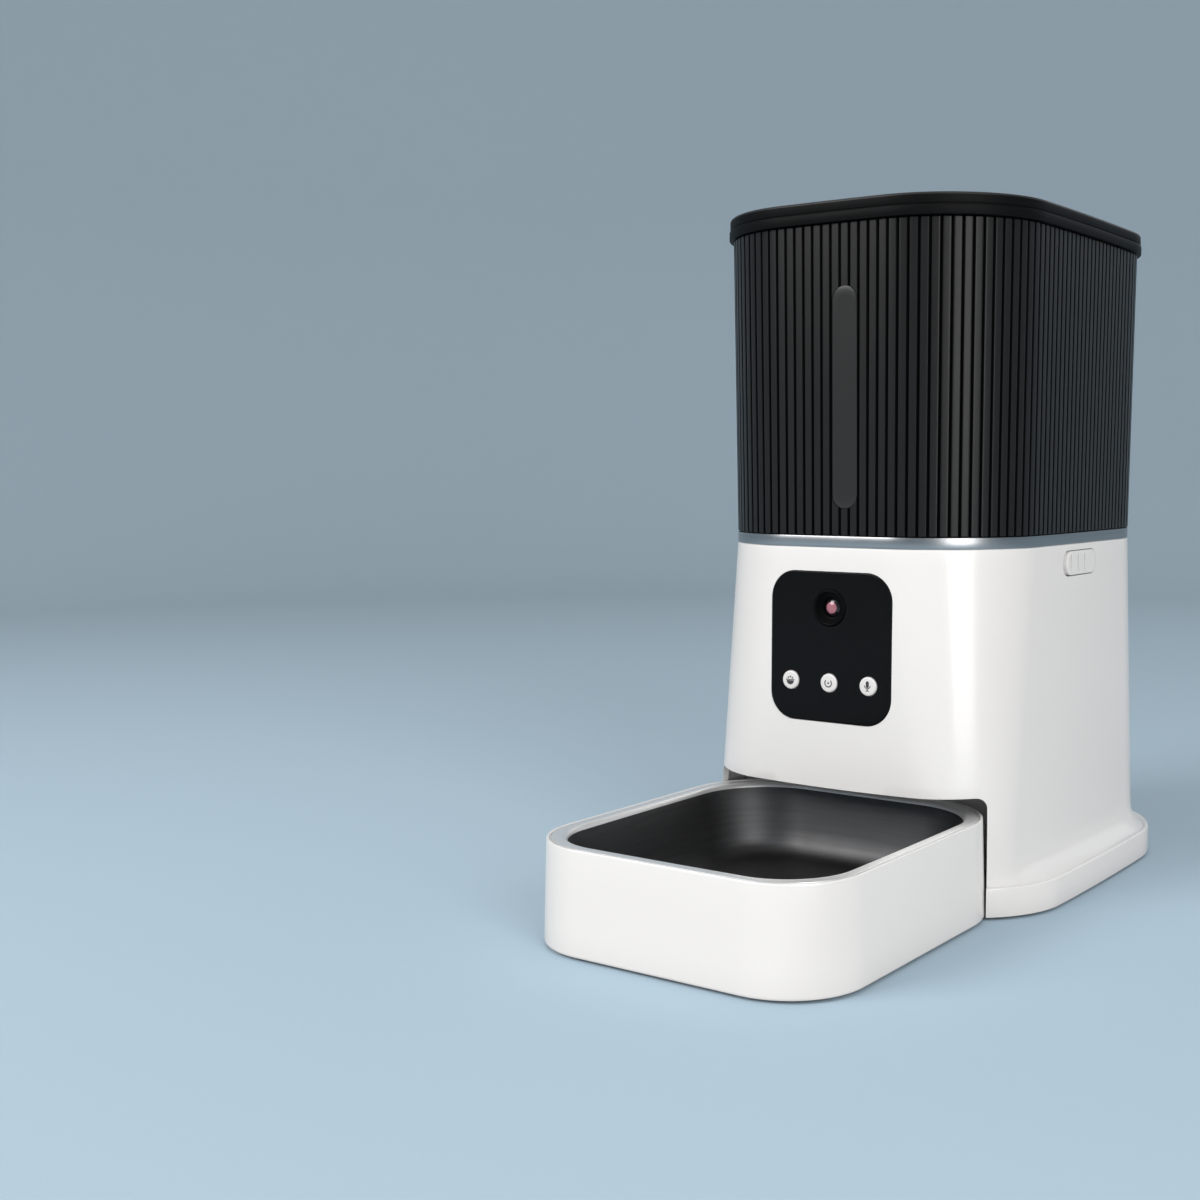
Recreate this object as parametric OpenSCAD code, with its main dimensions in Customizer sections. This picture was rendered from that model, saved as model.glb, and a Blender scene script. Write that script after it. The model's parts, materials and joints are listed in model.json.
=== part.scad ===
// Automatic pet feeder with a camera: a ribbed food hopper with a lift-off lid stands on a
// white base that holds the drive, the camera panel and a slide-out tray with a steel bowl.
// Millimetres, +Z up, front towards -Y, origin under the middle of the whole feeder.

/* [Tower] */
// Total height to the top of the lid
total_h = 310; // [290:1:340]
// Half width of the tower where hopper and base meet
waist_hw = 76; // [74:0.5:80]
// Half depth of the tower where hopper and base meet
waist_hd = 104; // [100:0.5:108]
// Corner radius of the tower seen from above
tower_r = 48; // [44:1:52]
// How far the middle of each tower side bows outwards
side_bow = 3; // [1:0.5:5]
// Height of the top edge of the white base
base_top = 159.5; // [156:0.5:166]
// How much wider each side of the base is at its foot
base_flare = 1.5; // [0:0.5:4]
// Wall of the white base
base_wall = 2.5; // [2:0.1:3]

/* [Plinth] */
// Half width of the plinth
plinth_hw = 91.5; // [90:0.5:96]
// Reach of the plinth in front of the tower's axis
plinth_front = 104.5; // [101:0.5:107]
// Reach of the plinth behind the tower's axis
plinth_back = 108.5; // [106:0.5:113]
// Radius of the plinth's front corners
plinth_r = 45; // [40:1:50]
// Radius of the plinth's rear corners
plinth_rear_r = 59; // [54:1:64]
// Height of the plinth's crisp upper edge
plinth_h = 14; // [11:0.5:18]
// Height of the rubber feet under the plinth
foot_h = 1; // [0.6:0.1:2]
// Diameter of a rubber foot
foot_d = 14; // [10:1:18]
// Thickness of the bottom plate
floor_t = 3; // [2.5:0.1:4]

/* [Hopper] */
// How much wider each side of the hopper is under the lid
hopper_taper = 1.5; // [0:0.5:4]
// Number of vertical flutes round the hopper
flute_count = 136; // [120:2:150]
// Width of a flute's groove
flute_w = 1.1; // [0.8:0.1:1.6]
// Depth of a flute's groove
flute_depth = 0.8; // [0.5:0.1:1.2]
// Wall of the hopper behind the grooves
hopper_wall = 2.2; // [1.8:0.1:3]
// Height of the metal trim ring
ring_h = 5; // [3:0.5:8]
// Width of the level window
window_w = 12.6; // [10:0.2:18]
// Height of the level window
window_h = 97; // [80:1:105]
// Height of the level window's lower end above the base
window_rise = 17; // [10:0.5:22]
// Sideways place of the level window
window_x = 7; // [-10:0.5:10]

/* [Lid] */
// Height of the lid's side
lid_h = 9.5; // [8:0.5:14]
// How far the lid stands out over the hopper
lid_over = 2; // [1:0.25:4]
// Depth of the lid's skirt inside the hopper
skirt_h = 12; // [8:0.5:18]

/* [Tray and bowl] */
// Half width of the tray
tray_hw = 73.5; // [71:0.5:75]
// Reach of the tray in front of the tower's axis
tray_reach = 234; // [220:1:245]
// Where the tray ends under the tower, in front of the tower's axis
tray_rear = 66; // [63:0.5:69]
// Height of the tray's upper edge
tray_h = 44.3; // [40:0.1:46]
// Radius of the tray's front corners
tray_r = 34; // [28:1:38]
// Radius of the tray's rear corners, which stay inside the mouth
tray_rear_r = 24; // [18:1:28]
// Wall of the tray
tray_wall = 3; // [2:0.1:4]
// Thickness of the steel of the bowl
bowl_t = 0.8; // [0.6:0.1:1.2]
// Width of the bowl's flange
flange_w = 6.5; // [5:0.5:9]
// Depth of the bowl
bowl_deep = 33; // [28:0.5:36]
// Height of the opening over the tray
mouth_h = 52.5; // [50:0.5:56]

/* [Panel] */
// Width of the black camera panel
panel_w = 64; // [60:0.5:70]
// Height of the black camera panel
panel_h = 67.3; // [63:0.5:70]
// Corner radius of the panel
panel_r = 12.5; // [8:0.5:16]
// Height of the panel's middle
panel_z = 115; // [112:0.5:118]
// Thickness of the panel
panel_t = 2.4; // [2:0.1:3]
// Height of the camera above the panel's middle
lens_up = 17.6; // [15:0.2:20]
// Diameter of the camera's ring
lens_ring_d = 16.5; // [14:0.25:19]
// Diameter of the camera's glass
lens_d = 8.6; // [7:0.2:11]
// Distance of the buttons below the panel's middle
button_down = 15.9; // [14:0.2:20]
// Spacing of the buttons
button_pitch = 20; // [16:0.5:22]
// Diameter of a button
button_d = 9; // [7:0.25:11]
// Travel of a button
button_travel = 0.8; // [0.4:0.1:1.2]

/* [Drive] */
// Distance of the rotor's axis behind the tower's axis
rotor_back = 12; // [10:0.5:14]
// Inner radius of the rotor's chamber
chamber_r = 47; // [44:0.5:50]
// Height of the chamber's floor
chamber_z = 115; // [114:0.5:117]
// Number of paddles on the rotor
paddle_count = 6; // [5:1:8]
// Height of the paddles
paddle_h = 27; // [22:0.5:30]
// Tooth module of the gears
gear_m = 1; // [1:0.05:1.05]
// Height of the underside of the gearbox
gearbox_z = 90; // [88:0.5:91]
// Diameter of the drive motor
motor_d = 27.7; // [24:0.1:30]
// Length of the drive motor's can
motor_len = 34; // [28:0.5:38]

/* [Battery bay] */
// Diameter of one battery cell
cell_d = 34.2; // [33:0.1:35]
// Length of one battery cell
cell_len = 61.5; // [60:0.1:63]

/* [Fits] */
// Gap between pieces that move past each other
gap = 0.4; // [0.3:0.05:0.6]
// Gap between pieces that are fixed together
seat_gap = 0.15; // [0.1:0.05:0.3]

/* [Hidden] */

round_fn = 48;

// Places worked out from the sizes above
tower_back = max(plinth_back, waist_hd + hopper_taper + lid_over);
tower_y = (tray_reach - tower_back) / 2;
plinth_hd = (plinth_front + plinth_back) / 2;
plinth_y = (plinth_back - plinth_front) / 2;
ring_top = base_top + ring_h;
hopper_z = ring_top + gap;
lid_z = total_h - lid_h;
hopper_top = lid_z - gap;
hopper_floor_t = 2.6;
foot_inset = 2;
floor_top = foot_h + floor_t;
mouth_hw = tray_hw + 0.8;
mouth_r = 5;
bay_back = tray_rear - 3;
bay_wall_t = 2;
bay_top = mouth_h + bay_wall_t;
bottom_r = tower_r - 20;
bottom_rear_r = tower_r - 10;

// Outlines seen from above, always with the same number of points
corner_steps = 9;
side_steps = 5;

function lerp(a, b, k) = a + (b - a) * k;
function blend(p, q, k) = [for (i = [0 : len(p) - 1]) lerp(p[i], q[i], k)];
function shift(p, d) = [for (q = p) q + d];
function last(v) = v[len(v) - 1];

// A rounded rectangle of half sizes hw and hd with its own radius at the rear corners
function corner_middle(c, hw, hd, radii) = let (n = c % 4)
    [(n == 0 || n == 3 ? 1 : -1) * (hw - radii[n]), (n < 2 ? 1 : -1) * (hd - radii[n])];
function straight_plan(hw, hd, r, rear_r) = let (radii = [rear_r, rear_r, r, r]) [
    for (c = [0 : 3])
    let (middle = corner_middle(c, hw, hd, radii), out = [cos(90 * (c + 1)), sin(90 * (c + 1))],
        from = middle + radii[c] * out,
        to = corner_middle(c + 1, hw, hd, radii) + radii[(c + 1) % 4] * out)
    each concat(
        [for (i = [0 : corner_steps])
            let (a = 90 * c + 90 * i / corner_steps) middle + radii[c] * [cos(a), sin(a)]],
        [for (i = [1 : side_steps - 1]) lerp(from, to, i / side_steps)])];

function bowed(p, hw, hd, bow) = [for (q = p) [
    q.x * (1 + bow / hw * (1 - pow(q.y / hd, 2))),
    q.y * (1 + bow / hd * (1 - pow(q.x / hw, 2)))]];

// The same with each side bowed out by bow
function plan(hw, hd, r, bow = side_bow, rear_r = undef) =
    bowed(straight_plan(hw - bow, hd - bow, r, is_undef(rear_r) ? r : rear_r), hw - bow, hd - bow, bow);

// Tower outlines: the base at a height z, and the hopper at a height z, grown by grow
function base_share(z) = (base_top - z) / (base_top - plinth_h);
function base_plan(z, grow = 0) =
    plan(waist_hw + base_flare * base_share(z) + grow, waist_hd + base_flare * base_share(z) + grow,
        lerp(tower_r, bottom_r, base_share(z)) + grow, side_bow,
        lerp(tower_r, bottom_rear_r, base_share(z)) + grow);
function plinth_plan(grow = 0) =
    shift(plan(plinth_hw + grow, plinth_hd + grow, plinth_r + grow, side_bow, plinth_rear_r + grow),
        [0, plinth_y]);
function hopper_share(z) = hopper_taper * (z - hopper_z) / (hopper_top - hopper_z);
function hopper_plan(z, grow = 0) =
    plan(waist_hw + hopper_share(z) + grow, waist_hd + hopper_share(z) + grow, tower_r + grow);

function front_y(z) = -(waist_hd + base_flare * base_share(z));
function back_y(z) = waist_hd + base_flare * base_share(z);
function side_x(z) = waist_hw + base_flare * base_share(z);

// A closed skin over a stack of outlines, each given as [outline, height]
module loft(stack) {
    n = len(stack[0][0]);
    m = len(stack);
    points = [for (s = stack) each [for (q = s[0]) [q.x, q.y, s[1]]]];
    sides = [for (k = [0 : m - 2]) each [for (i = [0 : n - 1])
        let (a = k * n + i, b = k * n + (i + 1) % n) each [[a, a + n, b + n], [a, b + n, b]]]];
    floor_face = [for (i = [0 : n - 1]) i];
    top_face = [for (i = [0 : n - 1]) m * n - 1 - i];
    polyhedron(points = points, faces = concat([floor_face, top_face], sides));
}

// A closed band: outlines taken in turn up the outside and down the inside, each as [outline, height]
module band(stack) {
    n = len(stack[0][0]);
    m = len(stack);
    points = [for (s = stack) each [for (q = s[0]) [q.x, q.y, s[1]]]];
    polyhedron(points = points, faces = [for (k = [0 : m - 1], i = [0 : n - 1])
        let (next = (i + 1) % n, a = k * n + i, b = k * n + next,
            c = (k + 1) % m * n + i, d = (k + 1) % m * n + next) each [[a, c, d], [a, d, b]]]);
}

// Points spread evenly along an outline, starting at the middle of the front
function around(p) = let (n = len(p)) [for (i = [0 : n]) p[i % n]];
function run_lengths(p, i = 0, s = 0) =
    i >= len(p) ? [] : concat([s], run_lengths(p, i + 1,
        s + (i + 1 < len(p) ? norm(p[i + 1] - p[i]) : 0)));
function fluted(p, depth = flute_depth) =
    let (q = around(p), s = run_lengths(q), whole = last(s),
        xs = [for (i = [0 : len(q) - 1]) [s[i], q[i].x]],
        ys = [for (i = [0 : len(q) - 1]) [s[i], q[i].y]],
        lowest = [for (i = [0 : len(p) - 1]) if (p[i].y < 0 && abs(p[i].x) < 12) i],
        start = lookup(0, [for (i = lowest) [q[i].x, s[i]]]),
        pitch = whole / flute_count)
    [for (i = [0 : flute_count - 1], k = [-1, 0, 1])
        let (t = start + i * pitch + k * flute_w / 2, u = (t + whole) % whole,
            here = [lookup(u, xs), lookup(u, ys)],
            ahead = let (v = (u + 0.5) % whole) [lookup(v, xs), lookup(v, ys)],
            behind = let (v = (u + whole - 0.5) % whole) [lookup(v, xs), lookup(v, ys)],
            along = (ahead - behind) / norm(ahead - behind))
        k == 0 ? here + depth * [-along.y, along.x] : here];

// Plain building blocks
module at_tower() { translate([0, tower_y, 0]) children(); }
module rounded_slab(w, d, r, h) {
    linear_extrude(h) rounded_area(w, d, r);
}
module rounded_area(w, d, r) {
    square([w - 2 * r, d], center = true);
    square([w, d - 2 * r], center = true);
    for (x = [-1, 1], y = [-1, 1])
        translate([x * (w / 2 - r), y * (d / 2 - r)]) circle(r, $fn = round_fn);
}
module stadium(w, h, depth) {
    // Long along X, round at both ends, pushed along Y by depth
    rotate([90, 0, 0]) translate([0, 0, -depth]) linear_extrude(depth) union() {
        square([w - h, h], center = true);
        for (x = [-1, 1]) translate([x * (w - h) / 2, 0]) circle(h / 2, $fn = round_fn);
    }
}
module rod(d, h) { cylinder(d = d, h = h, $fn = round_fn); }
module box(x0, x1, y0, y1, z0, z1) { translate([x0, y0, z0]) cube([x1 - x0, y1 - y0, z1 - z0]); }
module front_rod(d, depth) { rotate([-90, 0, 0]) rod(d, depth); }

// Base shell: the flared white body, its soft step onto the plinth, and the mouth for the tray
step_z = [0, 0.6, 1.5, 3.5, 8, 15];
step_k = [0, 0.12, 0.5, 0.78, 0.94, 1];
function shell_stack(grow, foot, top) = concat(
    [[plinth_plan(grow), foot], [plinth_plan(grow), plinth_h - 0.8 + grow]],
    [for (i = [0 : len(step_z) - 1])
        let (z = plinth_h + step_z[i])
        [blend(plinth_plan(grow - (i == 0 ? 0.6 : 0)), base_plan(z, grow), step_k[i]), z + grow]],
    [[base_plan(top, grow), top]]);

speaker_z = 125;
speaker_d = 36;
speaker_t = 12;
grille_hole = 2;
inlet_x = 30;
inlet_z = 66;
inlet_d = 8;
latch_y = -4;
latch_z = base_top - 9;
latch_slot = 40;
latch_h = 12;
latch_travel = 4;
latch_len = latch_slot - latch_travel - gap;
screw_hole = 3.4;
boss_d = 9;
boss_h = 12;

module base_shell() {
    color("white") at_tower() difference() {
        union() {
            difference() {
                loft(shell_stack(0, foot_h, base_top));
                loft(concat([[plinth_plan(-base_wall), foot_h - 1]],
                    [for (s = shell_stack(-base_wall, foot_h, base_top)) if (s[1] > foot_h) s],
                    [[base_plan(base_top, -base_wall), base_top + 1]]));
            }
            for (p = boss_places) translate([p.x, p.y, floor_top + seat_gap]) difference() {
                rod(boss_d, boss_h);
                translate([0, 0, -1]) rod(2.6, boss_h);
            }
            for (p = boss_places) box(min(p.x, sign(p.x) * rib_x),
                max(p.x, sign(p.x) * rib_x), p.y - 1, p.y + 1,
                floor_top + boss_h - 5, floor_top + boss_h);
        }
        for (p = boss_places) translate([p.x, p.y, 0]) rod(2.6, floor_top + boss_h - 2);
        mouth_cut();
        panel_prism(seat_gap, base_wall + 6);
        for (s = [-1, 1]) latch_slot_cut(s);
        translate([0, back_y(speaker_z) - base_wall - 4, speaker_z]) grille_cut();
        translate([inlet_x, back_y(inlet_z) - 12, inlet_z]) front_rod(inlet_d + 2 * seat_gap, 20);
        box(-door_hw - gap, door_hw + gap, plinth_back - 20, plinth_back + 2,
            0, door_z + door_t + gap);
    }
}
module mouth_cut() {
    // From the floor up, rounded at its two upper corners
    h = mouth_h + 20;
    translate([0, -bay_back, mouth_h - h / 2])
        rotate([90, 0, 0]) rounded_slab(2 * mouth_hw, h, mouth_r, 60);
}
module panel_prism(grow, depth) {
    translate([0, front_y(panel_z) + depth, panel_z])
        rotate([90, 0, 0]) rounded_slab(panel_w + 2 * grow, panel_h + 2 * grow, panel_r + grow,
            depth + 12);
}
module latch_slot_cut(s) {
    translate([s * (side_x(latch_z) - 8), latch_y, latch_z])
        rotate([0, 0, -s * 90]) stadium(latch_slot, latch_h, 16);
}
module grille_cut() {
    for (ring = [0 : 3], i = [0 : max(0, 6 * ring - 1)])
        let (a = ring == 0 ? 0 : 60 / ring * i)
        translate([3.6 * ring * cos(a), 0, 3.6 * ring * sin(a)]) front_rod(grille_hole, 12);
}

// Bottom plate: closes the plinth, carries the boards and frames the battery door
door_t = 1.6;
door_z = foot_h;
bay_x = 3 * cell_d / 2 + 1.5;
bay_y0 = 14;
bay_len = cell_len + 6;
bay_wall = 2;
bay_h = cell_d + 3;
door_hw = bay_x + 3;
door_y0 = bay_y0 - 4;
plate_clear = 0.3;
post_h = 6;
board_places = [for (x = [-36, 36], y = [-44, -6]) [x, y]];
boss_places = [for (x = [-1, 1], y = [-46, 38]) [x * (door_hw + gap + boss_d / 2 + 2.8), y]];
rib_x = (plinth_hw + side_x(plinth_h)) / 2 - 2.2;
foot_x = door_hw + foot_d / 2 + 3.2;
// The rear feet stay inside the round of the plinth's rear corners
foot_reach = plinth_rear_r - base_wall - plate_clear - foot_d / 2 - 3;
foot_off = foot_x - (plinth_hw - plinth_rear_r);
foot_y = min(plinth_back - 30,
    plinth_back - plinth_rear_r + sqrt(max(0, foot_reach * foot_reach - foot_off * foot_off)));
foot_places = [for (x = [-1, 1], y = [-1, 1]) [x * foot_x, y > 0 ? foot_y : -tray_rear + 38]];

module bottom_plate() {
    color("gainsboro") at_tower() {
        difference() {
            translate([0, 0, foot_h]) loft([[plinth_plan(-base_wall - plate_clear), 0],
                [plinth_plan(-base_wall - plate_clear), floor_t]]);
            box(-mouth_hw - 2.5, mouth_hw + 2.5, -plinth_front - 5, -bay_back + bay_wall_t + 0.5, 0, 10);
            box(-bay_x, bay_x, bay_y0, bay_y0 + bay_len, 0, 10);
            box(-door_hw - gap, door_hw + gap, door_y0 - gap, plinth_back + 5,
                0, door_z + door_t + gap);
            for (p = foot_places) translate([p.x, p.y, 0])
                rod(foot_d + 2 * seat_gap, foot_h + foot_inset);
            for (p = boss_places) translate([p.x, p.y, 0]) {
                rod(screw_hole, 10);
                rod(6.4, foot_h + 1.4);
            }
        }
        for (p = board_places) translate([p.x, p.y, floor_top]) difference() {
            rod(6, post_h);
            translate([0, 0, 1]) rod(2, post_h);
        }
    }
}
module base_feet() {
    color("dimgray") at_tower() for (p = foot_places) translate([p.x, p.y, 0])
        rod(foot_d, foot_h + foot_inset);
}
module plate_screws() {
    color("silver") at_tower() for (p = boss_places) translate([p.x, p.y, foot_h + 1.4]) {
        translate([0, 0, -1.2]) rod(5.8, 1.2);
        rod(2.6, floor_t + 7);
    }
}

// Trim ring: a bright metal band between the base and the hopper
ring_t = 4;
module trim_ring() {
    color("darkgray") at_tower() band([[hopper_plan(hopper_z), base_top],
        [hopper_plan(hopper_z), ring_top], [hopper_plan(hopper_z, -ring_t), ring_top],
        [hopper_plan(hopper_z, -ring_t), base_top]]);
}

// Deck: the plate under the hopper, with a round well for the rotor's chamber
deck_t = 2.5;
deck_z = base_top - deck_t;
chamber_wall = 2.5;
well_r = chamber_r + chamber_wall + 1;
module deck() {
    color("whitesmoke") at_tower() {
        difference() {
            loft([[base_plan(base_top, -base_wall - seat_gap), deck_z],
                [base_plan(base_top, -base_wall - seat_gap), base_top]]);
            translate([0, rotor_back, deck_z - 1]) cylinder(r = well_r, h = deck_t + 2, $fn = 96);
        }
        hang_posts();
    }
}

// Bay liner: the back wall, cheeks and ceiling of the tray's bay
chute_hw = 24;
chute_wall = 2;
chute_top = chamber_z - 1;
chute_in = [-40 + rotor_back - 12, -10 + rotor_back - 12];
chute_out = [front_y(mouth_h) + base_wall + 3, -tray_rear - flange_w - 7];
chute_low = bay_top;
module bay_liner() {
    color("white") at_tower() difference() {
        intersection() {
            union() {
                box(-mouth_hw - bay_wall_t, mouth_hw + bay_wall_t, -bay_back,
                    -bay_back + bay_wall_t, foot_h, bay_top);
                box(-mouth_hw - bay_wall_t, mouth_hw + bay_wall_t, front_y(mouth_h) - 5, -bay_back,
                    mouth_h, bay_top);
                for (s = [-1, 1]) translate([s * (mouth_hw + bay_wall_t / 2), 0, 0])
                    box(-bay_wall_t / 2, bay_wall_t / 2, front_y(mouth_h) - 5, -bay_back, foot_h, bay_top);
            }
            loft([[base_plan(bay_top, -base_wall - seat_gap), 0],
                [base_plan(bay_top, -base_wall - seat_gap), bay_top + 1]]);
        }
        chute_space(0, mouth_h - 1, bay_top + 1);
    }
}
// The slanted passage for the food, between two heights
function chute_y(z, ends) = let (k = (z - chute_low) / (chute_top - chute_low))
    lerp(chute_out[ends], chute_in[ends], k);
module chute_space(grow, z0, z1) {
    translate([-chute_hw - grow, 0, 0]) rotate([90, 0, 90]) linear_extrude(2 * (chute_hw + grow))
        polygon([[chute_y(z0, 0) - grow, z0], [chute_y(z0, 1) + grow, z0],
            [chute_y(z1, 1) + grow, z1], [chute_y(z1, 0) - grow, z1]]);
}
module chute() {
    color("ghostwhite") at_tower() difference() {
        chute_space(chute_wall, chute_low, chute_top);
        chute_space(0, chute_low - 1, chute_top + 1);
    }
}

// Panel group: the glossy black face with the camera and three buttons, on a carrier plate
panel_proud = 0.4;
carrier_t = 2.5;
carrier_rim = 4;
panel_top = panel_z + panel_h / 2;
carrier_y = front_y(panel_top + carrier_rim) + base_wall + 2.5;
lens_z = panel_z + lens_up;
button_z = panel_z - button_down;
button_y = front_y(button_z) - panel_proud;
button_flange = 1.2;
button_slack = 0.4;
button_stem_d = 5;
button_back = carrier_y + carrier_t - 0.8;
switch_y = button_back + button_travel + 0.25;
switch_t = 5.4;
board_t = 1.6;
button_board_y = switch_y + switch_t;
camera_board_y = carrier_y + carrier_t + 11;
post_d = 5;
stud_places = [for (x = [-1, 1], z = [-1, 1]) [x * (panel_w / 2 - 5), z * (panel_h / 2 - 14)]];

module base_skin(outer, inner) {
    // A slice of the base's own surface round the panel, between two offsets from it
    z0 = panel_z - panel_h / 2 - 6;
    z1 = panel_top + 6;
    difference() {
        loft([[base_plan(z0, outer), z0], [base_plan(z1, outer), z1]]);
        loft([[base_plan(z0, inner), z0 - 1], [base_plan(z1, inner), z1 + 1]]);
    }
}
module front_panel() {
    color([0.1, 0.1, 0.1]) at_tower() difference() {
        union() {
            intersection() {
                panel_prism(0, base_wall + 6);
                base_skin(panel_proud, panel_proud - panel_t);
            }
            for (p = stud_places) let (z = panel_z + p.y)
                translate([p.x, front_y(z) + 1.2, z]) front_rod(4, carrier_y - front_y(z) - 1.2);
        }
        translate([0, front_y(lens_z) - 8, lens_z]) front_rod(lens_ring_d + 2 * seat_gap, 20);
        for (i = [-1, 0, 1]) translate([i * button_pitch, button_y - 8, button_z])
            front_rod(button_d + 2 * gap, 20);
    }
}
module panel_carrier() {
    color("dimgray") at_tower() difference() {
        union() {
            translate([0, carrier_y + carrier_t, panel_z]) rotate([90, 0, 0])
                rounded_slab(panel_w + 2 * carrier_rim, panel_h + 2 * carrier_rim,
                    panel_r + carrier_rim, carrier_t);
            for (x = [-1, 1]) translate([x * 29, carrier_y, button_z])
                front_rod(post_d, button_board_y - carrier_y);
            for (x = [-1, 1]) translate([x * 11, carrier_y, lens_z])
                front_rod(4, camera_board_y - carrier_y);
        }
        translate([0, carrier_y - 1, lens_z]) front_rod(lens_ring_d, carrier_t + 2);
        for (i = [-1, 0, 1]) translate([i * button_pitch, carrier_y - 1, button_z])
            front_rod(button_stem_d + 1.2, carrier_t + 2);
    }
}
module camera_ring() {
    // A turned bezel whose inner cone leads down to the glass
    front = front_y(lens_z) - panel_proud;
    color([0.05, 0.05, 0.05]) at_tower() translate([0, front - 0.6, lens_z]) rotate([-90, 0, 0])
        rotate_extrude($fn = round_fn) polygon([[lens_d / 2 + 0.1, 3.6], [lens_d / 2 + 0.1, 2.2],
            [lens_ring_d / 2 - 1.4, 0.2], [lens_ring_d / 2 - 0.4, 0], [lens_ring_d / 2, 0.4],
            [lens_ring_d / 2, 3.6]]);
}
module camera_lens() {
    front = front_y(lens_z) - panel_proud;
    dome = 12;
    color([0.25, 0.1, 0.12]) at_tower() translate([0, front + 1.2, lens_z]) rotate([-90, 0, 0])
        intersection() {
            rod(lens_d, 2.6);
            translate([0, 0, dome]) sphere(dome, $fn = 64);
        }
}
module camera_barrel() {
    front = front_y(lens_z) - panel_proud + 3.8;
    color([0.12, 0.12, 0.13]) at_tower() translate([0, front, lens_z])
        front_rod(lens_ring_d - 2.5, camera_board_y - front);
}
module camera_board() {
    color("darkgreen") at_tower() translate([0, camera_board_y + board_t, lens_z]) rotate([90, 0, 0])
        rounded_slab(30, 24, 2, board_t);
}
module button(i) {
    back_face = front_y(button_z) - panel_proud + panel_t + button_slack;
    color("white") at_tower() translate([i * button_pitch, 0, button_z]) {
        translate([0, button_y - 0.6, 0]) front_rod(button_d, back_face + gap - button_y + 0.8);
        translate([0, back_face + gap, 0]) front_rod(button_d + 2.4, button_flange);
        translate([0, back_face + gap, 0]) front_rod(button_stem_d, button_back - back_face - gap);
    }
}
module button_left() { button(-1); }
module button_middle() { button(0); }
module button_right() { button(1); }
module button_board() {
    color("darkgreen") at_tower() translate([0, button_board_y + board_t, button_z])
        rotate([90, 0, 0]) rounded_slab(2 * button_pitch + 26, 15, 2, board_t);
}
module button_switches() {
    color("silver") at_tower() for (i = [-1, 0, 1]) translate([i * button_pitch, 0, button_z]) {
        translate([0, switch_y, 0]) front_rod(3.4, 2);
        box(-3, 3, switch_y + 1.6, button_board_y, -3, 3);
    }
}

// Electronics on the bottom plate and the back wall
module main_board() {
    color("darkgreen") at_tower() translate([0, 0, floor_top + post_h]) difference() {
        union() {
            translate([0, -25, 0]) rounded_slab(84, 50, 3, board_t);
            for (c = [[-20, -34, 16, 12, 2], [14, -18, 20, 14, 3.5], [-26, -12, 8, 8, 9]])
                box(c[0], c[0] + c[2], c[1], c[1] + c[3], board_t, board_t + c[4]);
        }
        for (p = board_places) translate([p.x, p.y, -1]) rod(2.6, 4);
    }
}
speaker_y = back_y(speaker_z) - base_wall - 2.3 - speaker_t;
module speaker() {
    color([0.2, 0.2, 0.2]) at_tower() translate([0, speaker_y, speaker_z]) {
        front_rod(speaker_d * 0.5, speaker_t);
        translate([0, speaker_t / 2, 0]) front_rod(speaker_d - 2, speaker_t / 2 - 0.6);
    }
}
module speaker_ring() {
    color("whitesmoke") at_tower() translate([0, speaker_y, speaker_z]) difference() {
        translate([0, 2, 0]) front_rod(speaker_d + 3, speaker_t - 1);
        translate([0, 4, 0]) front_rod(speaker_d - 2 + 2 * seat_gap, speaker_t);
        front_rod(speaker_d * 0.5 + 2 * seat_gap, speaker_t);
    }
}
module power_inlet() {
    out_y = back_y(inlet_z) - 1.4;
    color([0.1, 0.1, 0.1]) at_tower() translate([inlet_x, out_y, inlet_z]) difference() {
        union() {
            translate([0, -4, 0]) front_rod(inlet_d, 4.6);
            box(-6, 6, -15, -3.2, -6, 6);
        }
        translate([0, -9, 0]) front_rod(5.6, 12);
    }
    color("silver") at_tower() translate([inlet_x, out_y - 9.5, inlet_z]) front_rod(2, 8);
}
sensor_z = 72;
module food_sensors() {
    mid = (chute_y(sensor_z, 0) + chute_y(sensor_z, 1)) / 2;
    color([0.15, 0.15, 0.2]) at_tower() for (s = [-1, 1])
        translate([s * (chute_hw + chute_wall + 3.1), mid, sensor_z]) cube([6, 8, 10], center = true);
}

// Drive: a motor and two reductions that turn the dog under the rotor
pinion_teeth = 14;
wheel_teeth = 34;
small_teeth = 14;
output_teeth = 32;
backlash = 0.12;
wheel_step = gear_m * (pinion_teeth + wheel_teeth) / 2;
output_step = gear_m * (small_teeth + output_teeth) / 2;
idler_y = rotor_back + output_step;
pinion_y = idler_y + wheel_step;
box_floor_t = 3;
low_z = gearbox_z + box_floor_t + 1;
low_t = 6;
high_z = low_z + low_t + 0.6;
high_t = 6.4;
cover_z = high_z + high_t + 1.6;
cover_t = 2.5;
shaft_d = 8;
shaft_clear = 0.05;
pin_d = 4;
motor_shaft_d = 3;
dog_d = 11.5;
dog_h = 12;
hang_places = [[-38, rotor_back + 42], [38, rotor_back + 42], [-58, rotor_back], [58, rotor_back]];

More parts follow.
